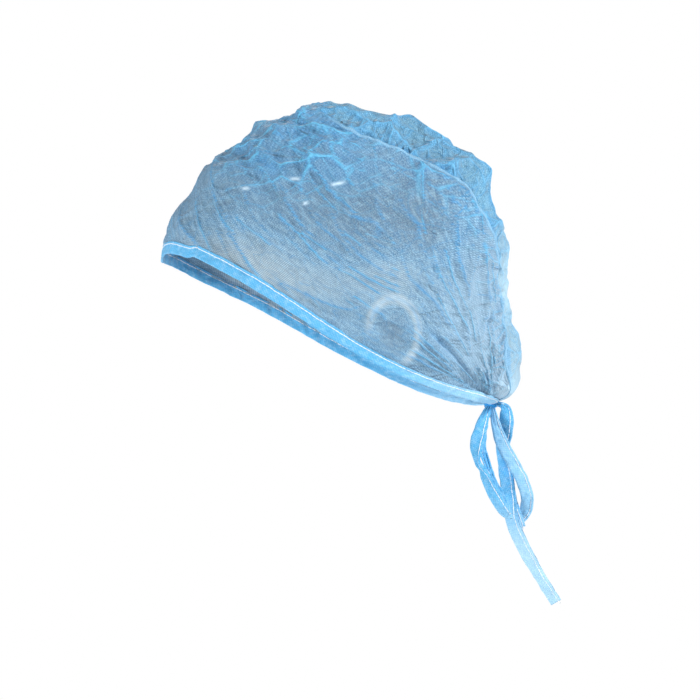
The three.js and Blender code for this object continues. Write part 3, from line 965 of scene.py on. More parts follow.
def seam_strip():
    points = np.stack([seam_row(turn) for turn in SEAM_PROFILE], 1)
    u = seam_length[:, None] + 0 * points[..., 0]
    v = np.linspace(0, 2 * SEAM_TURNING, len(SEAM_PROFILE)) + 0 * u
    # painted highlight along the raised line
    ridge_highlight = np.array([0.28 if turn.rise > 0 else 0.0 for turn in SEAM_PROFILE])
    shown = {"layers": 0.5, "fleck_and_painted_light": ridge_highlight * behind_front[:, None], "busy": 0.3}
    return Panel(points, u, v, no_values | shown)


no_values = {label: 0.0 for label in crown.values}
turned_in = seam_strip()
crown_panel = sheet_object("crown_panel_cloth", [crown, turned_in])

# %% [markdown]
# ## Folded strips: the rim's binding and the ties
# The binding and the ties are one strip, folded along its middle and stitched. A plain ribbon
# would look like card, so the strip is modelled as it is made: two layers joined by a fold,
# a dip where the thread pulls them together, and pleats where a knot squeezes it narrow.
# One function sweeps that section along any route.

# %% The folded section
# place across from -0.5, the open edge, to 0.5, the fold; half the strip's depth there
SECTION = [
    (-0.50, 0.36), (-0.44, 0.38), (-0.36, 0.33), (-0.28, 0.27), (-0.20, 0.33), (-0.10, 0.43),
    (0.02, 0.50), (0.16, 0.52), (0.30, 0.49), (0.40, 0.43), (0.47, 0.31), (0.50, 0.10),
]
STITCH_ROW = 3  # of the section, where it dips
STRIP_WALL = 0.25
STRIP_WIDE, PLEATS_BELOW = 8.0, 7.6  # mm; a strip squeezed narrower than this has pleats

Strip = namedtuple("Strip", "points u v stitch_lines")


def folded_section():
    """Both layers, from the open edge round the fold and back: place, depth."""
    return np.array(SECTION + [(place, -depth) for place, depth in reversed(SECTION)])


def sweep(centre, across, normal, wide, seed, puff=1.0):
    """A folded strip along a route, with the two lines where its thread lies."""
    place, depth = folded_section().T
    squeeze = np.clip(1 - wide / PLEATS_BELOW, 0, 1)[:, None]
    u = length_along(centre)[:, None] + 0 * place
    v = place * STRIP_WIDE + 0 * u
    pleats = 1.1 * squeeze * np.cos(2 * math.pi * (2.6 * place + 0.15 * noise(u, v, 9, seed)))
    curl = 0.9 * (place**2 - 0.08) * noise(u, 0 * v, 22, seed + 1)
    ripple = 0.12 * noise(u + 0.7 * v, v, 3.4, seed + 2) + 0.22 * noise(u, v, 8, seed + 3)
    creases = soften(folded_facets(u + 0.5 * v, 1.4 * v, 7.5, seed + 5, 4.6, -0.3))
    side = 4 * np.sign(v)
    edge = 1 + 0.07 * noise(u, side, 8, seed + 4) + 0.04 * noise(u, side, 3.5, seed + 6)
    over = place * wide[:, None] * edge
    out = depth * puff + pleats + curl + ripple + creases * (0.5 + squeeze)
    points = centre[:, None] + across[:, None] * over[..., None] + normal[:, None] * out[..., None]
    return Strip(points, u, v, (points[:, STITCH_ROW], points[:, -1 - STITCH_ROW]))


def smooth_route(rows, samples):
    """Catmull-Rom curve through rows of numbers, evenly spaced along its length."""
    dense = resample(np.asarray(rows, float), 20 * len(rows), 0)
    length = length_along(dense[:, :3])
    even = np.linspace(0, length[-1], samples)
    return np.stack([np.interp(even, length, column) for column in dense.T], 1)


# painted light: the tails grow paler towards their ends
TAIL_END = (225, 262)  # mm below the top, over which the tails grow paler


def strip_object(name, strip, layers, pale=0.0):
    """Layers: how strong the blue is. Pale: how much painted light it has, for light coming through it."""
    shown = {
        "fold": sharpness(strip.points) * 0.6,
        "layers": layers + 0.2 * near_knot(strip.points),
        "busy": 0.25,
        # painted light towards the tails' ends, and where light comes through
        "fleck_and_painted_light": np.maximum(0.5 * smoothstep(-strip.points[..., 2], *TAIL_END), pale),
    }
    return sheet_object(name, [Panel(strip.points, strip.u, strip.v, no_values | shown)], STRIP_WALL)


# %% The rim's binding
BINDING_CELLS = 620
BINDING_ENDS = 179.3
BINDING_OUT = 0.16  # the middle of its depth, out from the band's outer face
KINK_PLACE, KINK_WIDE = 33.0, 1.6  # degrees round the rim, where the hem is creased
KINK_DEEP, KINK_STEP = 0.9, 0.8
NARROWEST = 2.6


def bind_rim():
    degrees = np.linspace(-BINDING_ENDS, BINDING_ENDS, BINDING_CELLS)
    edge_low, edge_high = rim_edge(degrees), band_top(degrees)
    whole = np.arccos(np.clip((edge_low * edge_high).sum(-1), -1, 1))
    share = np.minimum(HEM_HEIGHT / skin_radius(edge_low) / np.maximum(whole, 1e-3), 0.9)
    lower = drawn_to_knot(on_skin(edge_low))
    upper = drawn_to_knot(on_skin(between(edge_low, edge_high, share)))
    along = unit(np.gradient(lower, axis=0))
    wide = np.linalg.norm(upper - lower, axis=1)
    upwards = unit(upper - lower)
    out = unit(np.cross(along, upwards))
    kink = KINK_DEEP * bell(degrees - KINK_PLACE, KINK_WIDE)
    step = KINK_STEP * np.tanh((degrees - KINK_PLACE) / 1.2) * bell(degrees - KINK_PLACE, 9)
    centre = (lower + upper) / 2 + out * (BINDING_OUT - kink)[:, None]
    centre = centre + upwards * (step + kink)[:, None]
    return sweep(centre, -upwards, out, np.clip(wide, NARROWEST, HEM_HEIGHT), 7)


binding = bind_rim()
# painted light on the binding, growing towards the back
rim_binding = strip_object(
    "rim_binding_strip", binding, 0.9, pale=0.3 * smoothstep(binding.points[..., 1], 10, 75),
)

# %% The ties' routes, which keep to the frame's solids
Row = namedtuple("Row", "x y z wide turn")
LOOP_LEFT = [
    Row(2.2, 84.0, -177.0, 2.4, 10), Row(5.5, 82.3, -180.0, 4.0, 10), Row(10, 79.8, -186.5, 6.6, 15),
    Row(15, 77.0, -196, 7.9, 20), Row(18, 75.9, -202.5, 7.4, 25), Row(19, 76.8, -208.6, 4.2, 50),
    Row(19, 78.9, -213.4, 2.9, 65), Row(18.5, 80.8, -218, 5.2, 30), Row(17, 84.6, -226, 6.6, 15),
    Row(14, 90.0, -235.0, 6.6, 10), Row(10, 95.0, -240.5, 5.0, 40), Row(8, 92.5, -234, 4.4, 60),
    Row(8, 88.6, -225.5, 4.4, 40), Row(8, 85.0, -217.6, 4.0, 25), Row(8, 82.4, -210.5, 3.8, 20),
    Row(8, 80.0, -201.5, 4.2, 25), Row(7, 80.6, -190.0, 4.0, 30), Row(2.2, 84.4, -177.6, 2.4, 30),
]
LOOP_RIGHT = [
    Row(0.4, 86.0, -177.4, 2.4, 0), Row(1.5, 88.0, -187, 5.0, -5), Row(2.5, 90.4, -195.5, 7.0, -10),
    Row(1.5, 94.5, -204, 7.5, -15), Row(0, 99.5, -212.5, 7.5, -20), Row(-3, 104, -221.5, 7.5, -20),
    Row(-7, 106.6, -229.5, 7.5, -20), Row(-12, 106.4, -237, 7.0, -10), Row(-14, 103.0, -242.5, 6.0, 10),
    Row(-16.5, 99.0, -243.5, 6.0, 40), Row(-19, 96.5, -238.5, 6.0, 50), Row(-21, 95.2, -229, 7.0, 40),
    Row(-22, 94.2, -218, 7.0, 40), Row(-20, 92.6, -206, 7.0, 50), Row(-15, 91.4, -195.5, 6.0, 50),
    Row(-8, 88.4, -186, 3.6, 40), Row(-2.0, 84.8, -177.4, 2.4, 30),
]
LONG_TAIL = [
    Row(0, 86.6, -175.2, 2.4, 0), Row(-0.5, 91.6, -176.1, 3.0, 0), Row(-1.2, 94.2, -179.2, 6.5, 10),
    Row(-1.6, 94.5, -186, 8.0, 20), Row(-1.8, 93.8, -193, 8.0, 20), Row(-2.4, 92.2, -200, 7.5, 20),
    Row(-5.0, 92.6, -207, 7.0, 20), Row(-6.5, 94.0, -214, 7.5, 20), Row(-6.0, 95.3, -222, 8.0, 20),
    Row(-3.5, 95.9, -230, 8.0, 20), Row(-0.4, 96.2, -237.5, 8.0, 25), Row(0, 97.6, -244.5, 8.0, 30),
    Row(0, 100.8, -252.5, 8.0, 30), Row(0, 106.2, -263, 8.0, 30), Row(0, 113.8, -276.5, 7.0, 30),
    Row(0, 122.8, -291.0, 7.0, 30),
]
SHORT_TAIL = [
    Row(-2.0, 84.4, -177.2, 2.4, 0), Row(-7, 89.0, -188, 5.0, -15), Row(-12, 93.6, -204, 6.5, -25),
    Row(-11, 95.4, -220, 7.0, -25), Row(-7, 98.0, -236, 8.0, -20), Row(-7, 102.4, -248, 7.0, -20),
]

TIE_SAMPLES_PER_MM = 1.2
# one row for each: its route, the seed of its creases, and how much painted light it has, for light coming
# through it
Tie = namedtuple("Tie", "rows seed pale")
TIES = {
    "bow_loop_left": Tie(LOOP_LEFT, 101, 0.0),
    "bow_loop_right": Tie(LOOP_RIGHT, 201, 0.25),
    "tie_tail_long": Tie(LONG_TAIL, 301, 0.0),
    "tie_tail_short": Tie(SHORT_TAIL, 401, 0.0),
}


def sweep_tie(tie):
    samples = int(length_along(np.array(tie.rows)[:, :3])[-1] * TIE_SAMPLES_PER_MM)
    route = smooth_route(tie.rows, samples)
    centre, wide, turn = route[:, :3], route[:, 3], np.radians(route[:, 4])
    run = unit(np.gradient(centre, axis=0))
    flat = unit(np.cross(run, SIDE))
    across_tie = flat * np.cos(turn)[:, None] + np.cross(run, flat) * np.sin(turn)[:, None]
    normal = unit(np.cross(across_tie, run))
    normal *= np.sign((normal * np.cross(flat, run)).sum(-1, keepdims=True) + 1e-9)
    return sweep(centre, across_tie, normal, wide, tie.seed)


tie_strips = {name: sweep_tie(tie) for name, tie in TIES.items()}
ties = {
    name: strip_object(name + "_strip", tie_strips[name], 0.75, tie.pale) for name, tie in TIES.items()
}
print("tie lengths in mm:", {name: round(float(strip.u[-1, 0])) for name, strip in tie_strips.items()})

# %% The knot: the strip wound tightly round itself
KNOT_TURNS, KNOT_RADIUS, KNOT_GROWTH = 1.6, 2.2, 0.7
KNOT_SAMPLES = 90


def tie_the_knot():
    t = np.linspace(0, 1, KNOT_SAMPLES)
    turn = 2 * math.pi * KNOT_TURNS * t
    radius = KNOT_RADIUS + KNOT_GROWTH * t
    rise = 1.6 * np.sin(turn * 0.7 + 0.4) * (1 - 0.4 * t)
    centre = KNOT + np.stack([radius * np.cos(turn), radius * np.sin(turn), rise], 1)
    run = unit(np.gradient(centre, axis=0))
    out = unit(centre - KNOT)
    out = unit(out - (out * run).sum(-1, keepdims=True) * run)
    wide = 3.4 + 0.8 * np.sin(5 * t)
    return sweep(centre, np.cross(run, out), out, wide, 501, puff=0.8)


tie_knot = strip_object("tie_knot_strip", tie_the_knot(), 1.0)

# %% [markdown]
# ## Stitches
# A sewing machine repeats one stitch at one pitch, so this is work for Geometry Nodes: the
# stitch line comes in as an edge with the cloth's facing on each point, is cut into even
# steps, and one small spindle of thread is set on each step. The pitch, the thread and the
# seed are the tree's inputs, so a coarser or a straighter seam is one number away.

# %% A helper that adds a node
def add_node(tree, kind, inputs=(), out=0, **settings):
    """Adds a node with its settings. Its inputs come in order, or by name or number."""
    node = tree.nodes.new(kind)
    for label, value in settings.items():
        setattr(node, label, value)
    for key, value in inputs.items() if isinstance(inputs, dict) else enumerate(inputs):
        if isinstance(value, bpy.types.NodeSocket):
            tree.links.new(value, node.inputs[key])
        else:
            node.inputs[key].default_value = value
    return node.outputs[out] if node.outputs else node


MATH, VECTOR_MATH, MAP_RANGE = "ShaderNodeMath", "ShaderNodeVectorMath", "ShaderNodeMapRange"
ALIGN = "FunctionNodeAlignRotationToVector"

# %% The stitching tree
# a stitch's sizes in mm: from one to the next, its length, its thickness, how far it strays
STITCH_SIZES = {"Pitch": 2.7, "Stitch": 3.1, "Thread": 0.5, "Wobble": 0.1}


def stitch_tree(thread_material):
    tree = bpy.data.node_groups.new("machine_stitches", "GeometryNodeTree")
    panel = tree.interface
    panel.new_socket("Line", in_out="INPUT", socket_type="NodeSocketGeometry")
    for label, size in STITCH_SIZES.items():
        panel.new_socket(label, in_out="INPUT", socket_type="NodeSocketFloat").default_value = size * MM
    panel.new_socket("Seed", in_out="INPUT", socket_type="NodeSocketInt").default_value = 1
    panel.new_socket("Stitches", in_out="OUTPUT", socket_type="NodeSocketGeometry")
    given = tree.nodes.new("NodeGroupInput").outputs

    curve = add_node(tree, "GeometryNodeMeshToCurve", {"Mesh": given["Line"]})
    steps = {"Curve": curve, "Length": given["Pitch"]}
    steps = add_node(tree, "GeometryNodeResampleCurve", steps, mode="LENGTH")
    low_end, high_end = (
        add_node(tree, VECTOR_MATH, {0: (way, way, way), "Scale": given["Wobble"]}, operation="SCALE")
        for way in (-1, 1)
    )
    wobble = {0: low_end, 1: high_end, "Seed": given["Seed"]}
    wobble = add_node(tree, "FunctionNodeRandomValue", wobble, data_type="FLOAT_VECTOR")
    placed = add_node(tree, "GeometryNodeSetPosition", {"Geometry": steps, "Offset": wobble})

    spindle = add_node(tree, "GeometryNodeMeshUVSphere", {"Segments": 6, "Rings": 5, "Radius": 0.5})
    size = [given["Stitch"], given["Thread"], given["Thread"]]
    size = add_node(tree, "ShaderNodeCombineXYZ", size)
    spindle = add_node(tree, "GeometryNodeTransform", {"Geometry": spindle, "Scale": size})
    tangent = add_node(tree, "GeometryNodeInputTangent")
    outward = add_node(tree, "GeometryNodeInputNamedAttribute", {"Name": "facing"}, data_type="FLOAT_VECTOR")
    run = add_node(tree, ALIGN, {"Vector": tangent}, axis="X")
    turned = add_node(tree, ALIGN, {"Rotation": run, "Vector": outward}, axis="Z", pivot_axis="X")
    copies = {"Points": placed, "Instance": spindle, "Rotation": turned}
    copies = add_node(tree, "GeometryNodeInstanceOnPoints", copies)
    real = add_node(tree, "GeometryNodeRealizeInstances", {"Geometry": copies})
    done = add_node(tree, "GeometryNodeSetMaterial", {"Geometry": real, "Material": thread_material})
    add_node(tree, "NodeGroupOutput", [done])
    return tree


# %% [markdown]
# ## Finishes
# Spunbond is polypropylene thread, finer than a hair, blown onto a belt and pressed together
# at small points. Three things give it away: cloudy patches where more or fewer threads fell,
# streaks along the belt, and rows of bond marks about a millimetre apart. One layer
# looks thin and greyish. Where two or more lie together, as in the binding and at every
# fold, the colour is a clear strong blue, so the colour follows the number of layers. An
# image texture could hold all this, but nodes stay sharp at any distance.

# %% Colours
def linear(hex_colour):
    """An sRGB hex colour as the linear numbers that a shader takes."""
    parts = [int(hex_colour[i: i + 2], 16) / 255 for i in (1, 3, 5)]
    return tuple(c / 12.92 if c <= 0.04045 else ((c + 0.055) / 1.055) ** 2.4 for c in parts) + (1.0,)


MIX, NOISE = "ShaderNodeMix", "ShaderNodeTexNoise"


def paint_over(tree, colour, coats):
    """Covers a colour with coats, each with how much of it shows and its own colour."""
    for amount, coat in coats:
        coat = linear(coat) if isinstance(coat, str) else coat
        colour = add_node(tree, MIX, {0: amount, 6: colour, 7: coat}, out=2, data_type="RGBA")
    return colour


# %% Flat facets as a node group, for creases finer than the mesh
def facet_group():
    """Random heights on uneven triangles, straight in between, as the function above does."""
    tree = bpy.data.node_groups.new("flat_facets", "ShaderNodeTree")
    for label, kind in (("Place", "Vector"), ("Size", "Float"), ("Seed", "Float")):
        tree.interface.new_socket(label, in_out="INPUT", socket_type="NodeSocket" + kind)
    tree.interface.new_socket("Height", in_out="OUTPUT", socket_type="NodeSocketFloat")
    given = tree.nodes.new("NodeGroupInput").outputs
    shrink = add_node(tree, MATH, [1.0, given["Size"]], operation="DIVIDE")
    scaled = add_node(tree, VECTOR_MATH, {0: given["Place"], "Scale": shrink}, operation="SCALE")
    drift = {"Vector": scaled, "Scale": 0.6, "Detail": 0.0}
    drift = add_node(tree, NOISE, drift, out="Color", noise_dimensions="3D")
    drift = add_node(tree, VECTOR_MATH, [drift, (0.5, 0.5, 0.5)], operation="SUBTRACT")
    drift = add_node(tree, VECTOR_MATH, {0: drift, "Scale": 1.6}, operation="SCALE")
    moved = add_node(tree, VECTOR_MATH, [scaled, drift], operation="ADD")
    first, second, _ = add_node(tree, "ShaderNodeSeparateXYZ", [moved]).node.outputs
    x = add_node(tree, MATH, [second, 0.577, first], operation="MULTIPLY_ADD")
    y = add_node(tree, MATH, [second, 1.155], operation="MULTIPLY")
    i = add_node(tree, MATH, [x], operation="FLOOR")
    j = add_node(tree, MATH, [y], operation="FLOOR")
    s = add_node(tree, MATH, [x, i], operation="SUBTRACT")
    t = add_node(tree, MATH, [y, j], operation="SUBTRACT")
    below = add_node(tree, MATH, [s, t], operation="GREATER_THAN")
    next_i = add_node(tree, MATH, [i, 1.0], operation="ADD")
    next_j = add_node(tree, MATH, [j, 1.0], operation="ADD")
    beside_i = add_node(tree, MATH, [i, below], operation="ADD")
    beside_j = add_node(tree, MATH, [next_j, below], operation="SUBTRACT")
    more = add_node(tree, MATH, [s, t], operation="MAXIMUM")
    less = add_node(tree, MATH, [s, t], operation="MINIMUM")
    near_share = add_node(tree, MATH, [1.0, more], operation="SUBTRACT")
    beside_share = add_node(tree, MATH, [more, less], operation="SUBTRACT")
    total = 0.0
    for along, up, share in ((i, j, near_share), (beside_i, beside_j, beside_share), (next_i, next_j, less)):
        corner = add_node(tree, "ShaderNodeCombineXYZ", [along, up, given["Seed"]])
        high = add_node(tree, "ShaderNodeTexWhiteNoise", [corner], out="Value", noise_dimensions="3D")
        total = add_node(tree, MATH, [high, share, total], operation="MULTIPLY_ADD")
    add_node(tree, "NodeGroupOutput", [total])
    return tree


flat_facets = facet_group()

# %% Patterns of the cloth, each at its real size
BOND_PITCH = 1.35  # in mm; the real pitch is about 1 mm, a little coarser here so that the rows show
BOND_TURN, BOND_STRETCH = 30, 0.8  # degrees; the rows are closer one way than the other

Cloud = namedtuple("Cloud", "turn stretch size detail")
CLOUDS = {
    "fibres": Cloud(0, 1, 0.55, 3.0),
    "streak": Cloud(31, 6, 0.45, 2.0),
    "hairs": Cloud(-20, 2.5, 1.3, 2.0),
    "speck": Cloud(0, 1, 0.5, 1.0),
    "patch": Cloud(0, 1, 11, 1.0),
    "mottle": Cloud(0, 1, 3.5, 3.0),
}
# size in mm; "slanted" and "fanned" are laid out along the creases' run
Crease = namedtuple("Crease", "size seed running")
CREASES = {
    "broad": Crease(9.0, 1.0, False), "middle": Crease(4.4, 2.0, False), "small": Crease(2.2, 3.0, False),
    "slanted": Crease(3.0, 4.0, True), "fanned": Crease(1.6, 5.0, True),
}
CRESTS = {"a": (0.85, 3.6), "b": (0.65, 2.2), "c": (0.5, 1.5)}  # half width of a crest and of its halo


def cloud_patterns(tree, flat):
    clouds = {}
    for label, cloud in CLOUDS.items():
        rotation, scale = (0, 0, math.radians(-cloud.turn)), (1 / cloud.stretch, 1, 1)
        place = {"Vector": flat, "Rotation": rotation, "Scale": scale}
        place = add_node(tree, "ShaderNodeMapping", place)
        noise_sizes = {"Vector": place, "Scale": 1 / cloud.size, "Detail": cloud.detail}
        clouds[label] = add_node(tree, NOISE, noise_sizes, noise_dimensions="2D")
    return clouds


def middle_line(tree, value, wide):
    """1 where a value is one half, down to 0 at `wide` away from it."""
    off = add_node(tree, MATH, [value, 0.5], operation="SUBTRACT")
    away = add_node(tree, MATH, [off], operation="ABSOLUTE")
    return add_node(tree, MAP_RANGE, [away, 0.0, wide, 1.0, 0.0])


def thread_pattern(tree, clouds, contrast):
    """0 in a gap to 1 where threads lie thick."""
    streak = add_node(tree, MATH, [clouds["streak"], 0.4], operation="MULTIPLY")
    threads = add_node(tree, MATH, [clouds["fibres"], 0.6, streak], operation="MULTIPLY_ADD")
    threads = add_node(tree, MAP_RANGE, [threads, 0.5 - contrast, 0.5 + contrast])
    hairs = add_node(tree, MATH, [middle_line(tree, clouds["hairs"], 0.03), 0.8], operation="MULTIPLY")
    return add_node(tree, MATH, [threads, hairs], operation="MAXIMUM")


def bond_pattern(tree, flat):
    """0 on the raised dots to 1 where the cloth is pressed between them."""
    rotation, scale = (0, 0, math.radians(-BOND_TURN)), (1 / BOND_STRETCH, 1, 1)
    place = {"Vector": flat, "Rotation": rotation, "Scale": scale}
    place = add_node(tree, "ShaderNodeMapping", place)
    sizes = {"Vector": place, "Scale": 1 / BOND_PITCH, "Randomness": 0.0}
    points = add_node(tree, "ShaderNodeTexVoronoi", sizes, out="Distance", voronoi_dimensions="2D")
    return add_node(tree, MAP_RANGE, [points, 0.22, 0.5])


def crest_pattern(tree, read, halo=False):
    """The crest lines, or the wider halos round them, from the distances that the mesh brings."""
    total = 0.0
    for label, (crest_wide, halo_wide) in CRESTS.items():
        full, none = (0.2, halo_wide) if halo else (0.1, crest_wide)
        away = add_node(tree, MATH, [read["crest_" + label]], operation="ABSOLUTE")
        line = add_node(tree, MAP_RANGE, [away, full, none, 1.0, 0.0])
        line = add_node(tree, MATH, [line, read["gate_" + label]], operation="MULTIPLY")
        total = add_node(tree, MATH, [total, line], operation="MAXIMUM")
    return total


# %% The cloth's colour
# one layer of it, its threads, the gaps between them, several layers, a fold's crest with its painted
# highlight, and painted light where it is seen against light
Cloth = namedtuple("Cloth", "thin thread gap dense crest pale contrast relief")
POINT_VALUES = tuple(crown.values)
# colours of painted shade, of specks where shade shows through, and of painted light
PAINTED_SHADE_COLOUR, SHADED_SPECK, PAINTED_LIGHT_COLOUR = "#6a8390", "#545470", "#c0cac8"


def largest(tree, values):
    total = values[0]
    for value in values[1:]:
        total = add_node(tree, MATH, [total, value], operation="MAXIMUM")
    return total


def crease_lines(tree, read, clouds, creases):
    """Thin lines where facets meet, for the colour of doubled cloth."""
    middle = middle_line(tree, creases["middle"], 0.08)
    middle = add_node(tree, MATH, [middle, 0.7], operation="MULTIPLY")
    fine = largest(tree, [middle_line(tree, creases["broad"], 0.05), middle])
    where_busy = add_node(tree, MAP_RANGE, [read["busy"], 0.1, 0.9])
    fine = add_node(tree, MATH, [fine, where_busy], operation="MULTIPLY")
    slanted = middle_line(tree, creases["slanted"], 0.05)
    in_patches = add_node(tree, MAP_RANGE, [clouds["patch"], 0.40, 0.58, 0.0, 0.9])
    where_run = add_node(tree, MAP_RANGE, [read["run"], 0.0, 0.6])
    for share in (in_patches, where_run):
        slanted = add_node(tree, MATH, [slanted, share], operation="MULTIPLY")
    return largest(tree, [fine, slanted])


def cloth_colour(tree, cloth, read, clouds, creases, running, threads, pressed):
    """Coats of colour: one layer, then several, then what lies on every layer."""
    drift = add_node(tree, NOISE, {"Vector": running, "Scale": 0.5, "Detail": 2.0}, noise_dimensions="2D")
    more_thread = add_node(tree, MAP_RANGE, [drift, 0.52, 0.72, 0.0, 0.6])
    more_thread = add_node(tree, MATH, [more_thread, read["run"]], operation="MULTIPLY")
    less_thread = add_node(tree, MAP_RANGE, [drift, 0.48, 0.28, 0.0, 0.45])
    less_thread = add_node(tree, MATH, [less_thread, read["run"]], operation="MULTIPLY")
    speck = add_node(tree, MAP_RANGE, [clouds["speck"], 0.46, 0.36])
    speck_share = add_node(tree, MAP_RANGE, [read["painted_shade_and_light"], -0.6, 0.8, 0.05, 0.8])
    speck = add_node(tree, MATH, [speck, speck_share], operation="MULTIPLY")
    # painted shade makes one layer greyer, and painted light makes it paler
    painted_shade_share = add_node(tree, MAP_RANGE, [read["painted_shade_and_light"], 0.0, 1.0, 0.0, 0.7])
    painted_light_share = add_node(tree, MAP_RANGE, [read["painted_shade_and_light"], -1.0, 0.0, 0.72, 0.0])
    fibres = paint_over(tree, linear(cloth.gap), [(threads, cloth.thread)])
    single = paint_over(tree, fibres, [
        (0.2, cloth.thin),
        (painted_shade_share, PAINTED_SHADE_COLOUR),
        (speck, SHADED_SPECK),
        (painted_light_share, PAINTED_LIGHT_COLOUR),
        (more_thread, cloth.thread),
        (less_thread, cloth.gap),
    ])

    mottle = add_node(tree, MAP_RANGE, [clouds["mottle"], 0.48, 0.75, 0.0, 0.4])
    several = paint_over(tree, fibres, [(0.78, cloth.dense), (mottle, cloth.crest)])
    ridges = add_node(tree, MAP_RANGE, [read["fold"], 0.05, 0.8, 0.0, 0.75])
    creased = crease_lines(tree, read, clouds, creases)
    creased = add_node(tree, MATH, [creased, 0.6], operation="MULTIPLY")
    halos = add_node(tree, MATH, [crest_pattern(tree, read, halo=True), 0.8], operation="MULTIPLY")
    doubled = largest(tree, [read["layers"], ridges, creased, halos])

    bonds = add_node(tree, MAP_RANGE, [read["painted_shade_and_light"], -0.6, 0.8, 0.6, 0.4])
    bonds = add_node(tree, MATH, [pressed, bonds], operation="MULTIPLY")
    # painted shade: the deep blue darkens the valleys between folds
    valleys = add_node(tree, MAP_RANGE, [read["fold"], -1.0, -0.05, 0.36, 0.0])
    # painted highlight along each fold's crest, partly the doubled cloth there
    crests = add_node(tree, MATH, [crest_pattern(tree, read), 0.85], operation="MULTIPLY")
    return paint_over(tree, single, [
        (doubled, several),
        (bonds, cloth.gap),
        (valleys, cloth.dense),
        (crests, cloth.crest),
        # pale flecks, and painted light where light comes through the cloth
        (read["fleck_and_painted_light"], cloth.pale),
    ])


# %% The cloth's relief
# heights in mm; each kind of facet is folded up along its middle height
BUSY_RELIEF = {"broad": 1.9, "middle": 1.0, "small": 0.26}
RUNNING_RELIEF = {"slanted": 0.6, "fanned": 0.16}
CREST_RELIEF, THREAD_RELIEF, BOND_RELIEF = 0.5, 0.022, -0.05
FOLDED_WIDTH = 0.3


def cloth_relief(tree, read, creases, threads, pressed):
    height, along = 0.0, 0.0
    for label, high in BUSY_RELIEF.items():
        line = middle_line(tree, creases[label], FOLDED_WIDTH)
        height = add_node(tree, MATH, [line, high, height], operation="MULTIPLY_ADD")
    for label, high in RUNNING_RELIEF.items():
        line = middle_line(tree, creases[label], FOLDED_WIDTH)
        along = add_node(tree, MATH, [line, high, along], operation="MULTIPLY_ADD")
    height = add_node(tree, MATH, [height, read["busy"]], operation="MULTIPLY")
    for pattern, high in (
        (along, read["run"]),
        (crest_pattern(tree, read), CREST_RELIEF),
        (threads, THREAD_RELIEF),
        (pressed, BOND_RELIEF),
    ):
        height = add_node(tree, MATH, [pattern, high, height], operation="MULTIPLY_ADD")
    return height


# %% Spunbond polypropylene: matt, with a faint silky sheen from its round threads
def spunbond(name, cloth):
    material = bpy.data.materials.new(name)
    material.use_nodes = True
    tree = material.node_tree
    shader = tree.nodes["Principled BSDF"]
    metres = add_node(tree, "ShaderNodeUVMap", uv_map="cloth")
    flat = add_node(tree, VECTOR_MATH, {0: metres, "Scale": 1 / MM}, operation="SCALE")
    read = {}
    for label in POINT_VALUES:
        read[label] = add_node(tree, "ShaderNodeAttribute", out="Fac", attribute_name=label)
    running = add_node(tree, "ShaderNodeCombineXYZ", [read["run_x"], read["run_y"]])
    clouds = cloud_patterns(tree, flat)
    creases = {}
    for label, crease in CREASES.items():
        place = {"Place": running if crease.running else flat, "Size": crease.size, "Seed": crease.seed}
        creases[label] = add_node(tree, "ShaderNodeGroup", place, node_tree=flat_facets)
    threads = thread_pattern(tree, clouds, cloth.contrast)
    pressed = bond_pattern(tree, flat)

    colour = cloth_colour(tree, cloth, read, clouds, creases, running, threads, pressed)
    tree.links.new(colour, shader.inputs["Base Color"])
    roughness = add_node(tree, MAP_RANGE, [threads, 0.0, 1.0, 0.92, 0.74])
    tree.links.new(roughness, shader.inputs["Roughness"])
    shader.inputs["Sheen Weight"].default_value = 0.25
    shader.inputs["Sheen Roughness"].default_value = 0.4
    shader.inputs["IOR"].default_value = 1.49  # polypropylene
    relief = {"Height": cloth_relief(tree, read, creases, threads, pressed), "Strength": cloth.relief}
    bump = add_node(tree, "ShaderNodeBump", relief | {"Distance": 1 * MM})
    tree.links.new(bump, shader.inputs["Normal"])
    return material


band_cloth = spunbond(
    "spunbond_single_layer",
    Cloth("#86b8d4", "#b2d8ec", "#467298", "#1f98dc", "#70ccf4", "#cce8fa", contrast=0.085, relief=0.9),
)
crown_cloth = spunbond(
    "spunbond_gathered_layer",
    Cloth("#78bcdc", "#a8def6", "#3f80a8", "#2a9ce4", "#7cccf6", "#c4e6f6", contrast=0.085, relief=0.9),
)
strip_cloth = spunbond(
    "spunbond_folded_strip",
    Cloth("#80c8ec", "#b4e2f6", "#3ea0de", "#54b4e6", "#ccecfe", "#d8f4ff", contrast=0.11, relief=0.8),
)
knot_cloth = spunbond(
    "spunbond_pulled_tight",
    Cloth("#2f9fe2", "#5cb8ee", "#1284d0", "#2a9ae0", "#5cb8ee", "#9ad6f6", contrast=0.16, relief=0.7),
)


# %% Spun polyester thread: white, slightly fuzzy, two plies twisted together
def polyester_thread():
    material = bpy.data.materials.new("spun_polyester_thread")
    material.use_nodes = True
    tree = material.node_tree
    shader = tree.nodes["Principled BSDF"]
    place = add_node(tree, "ShaderNodeTexCoord", out="Object")
    ply = add_node(tree, NOISE, {"Vector": place, "Scale": 1 / (0.5 * MM), "Detail": 1.0})
    colour = paint_over(tree, linear("#cfe0f0"), [(ply, "#ffffff")])
    relief = add_node(tree, "ShaderNodeBump", {"Height": ply, "Strength": 0.4, "Distance": 0.05 * MM})
    tree.links.new(colour, shader.inputs["Base Color"])
    tree.links.new(relief, shader.inputs["Normal"])
    shader.inputs["Roughness"].default_value = 0.6
    return material


thread = polyester_thread()

# %% Lay the stitches
stitches = stitch_tree(thread)
ABOVE_CLOTH = 0.22
BINDING_THREAD = {"Pitch": 2.6, "Stitch": 3.4, "Thread": 0.62, "Wobble": 0.08, "Seed": 3}
TIE_THREAD = BINDING_THREAD | {"Thread": 0.60, "Seed": 4}


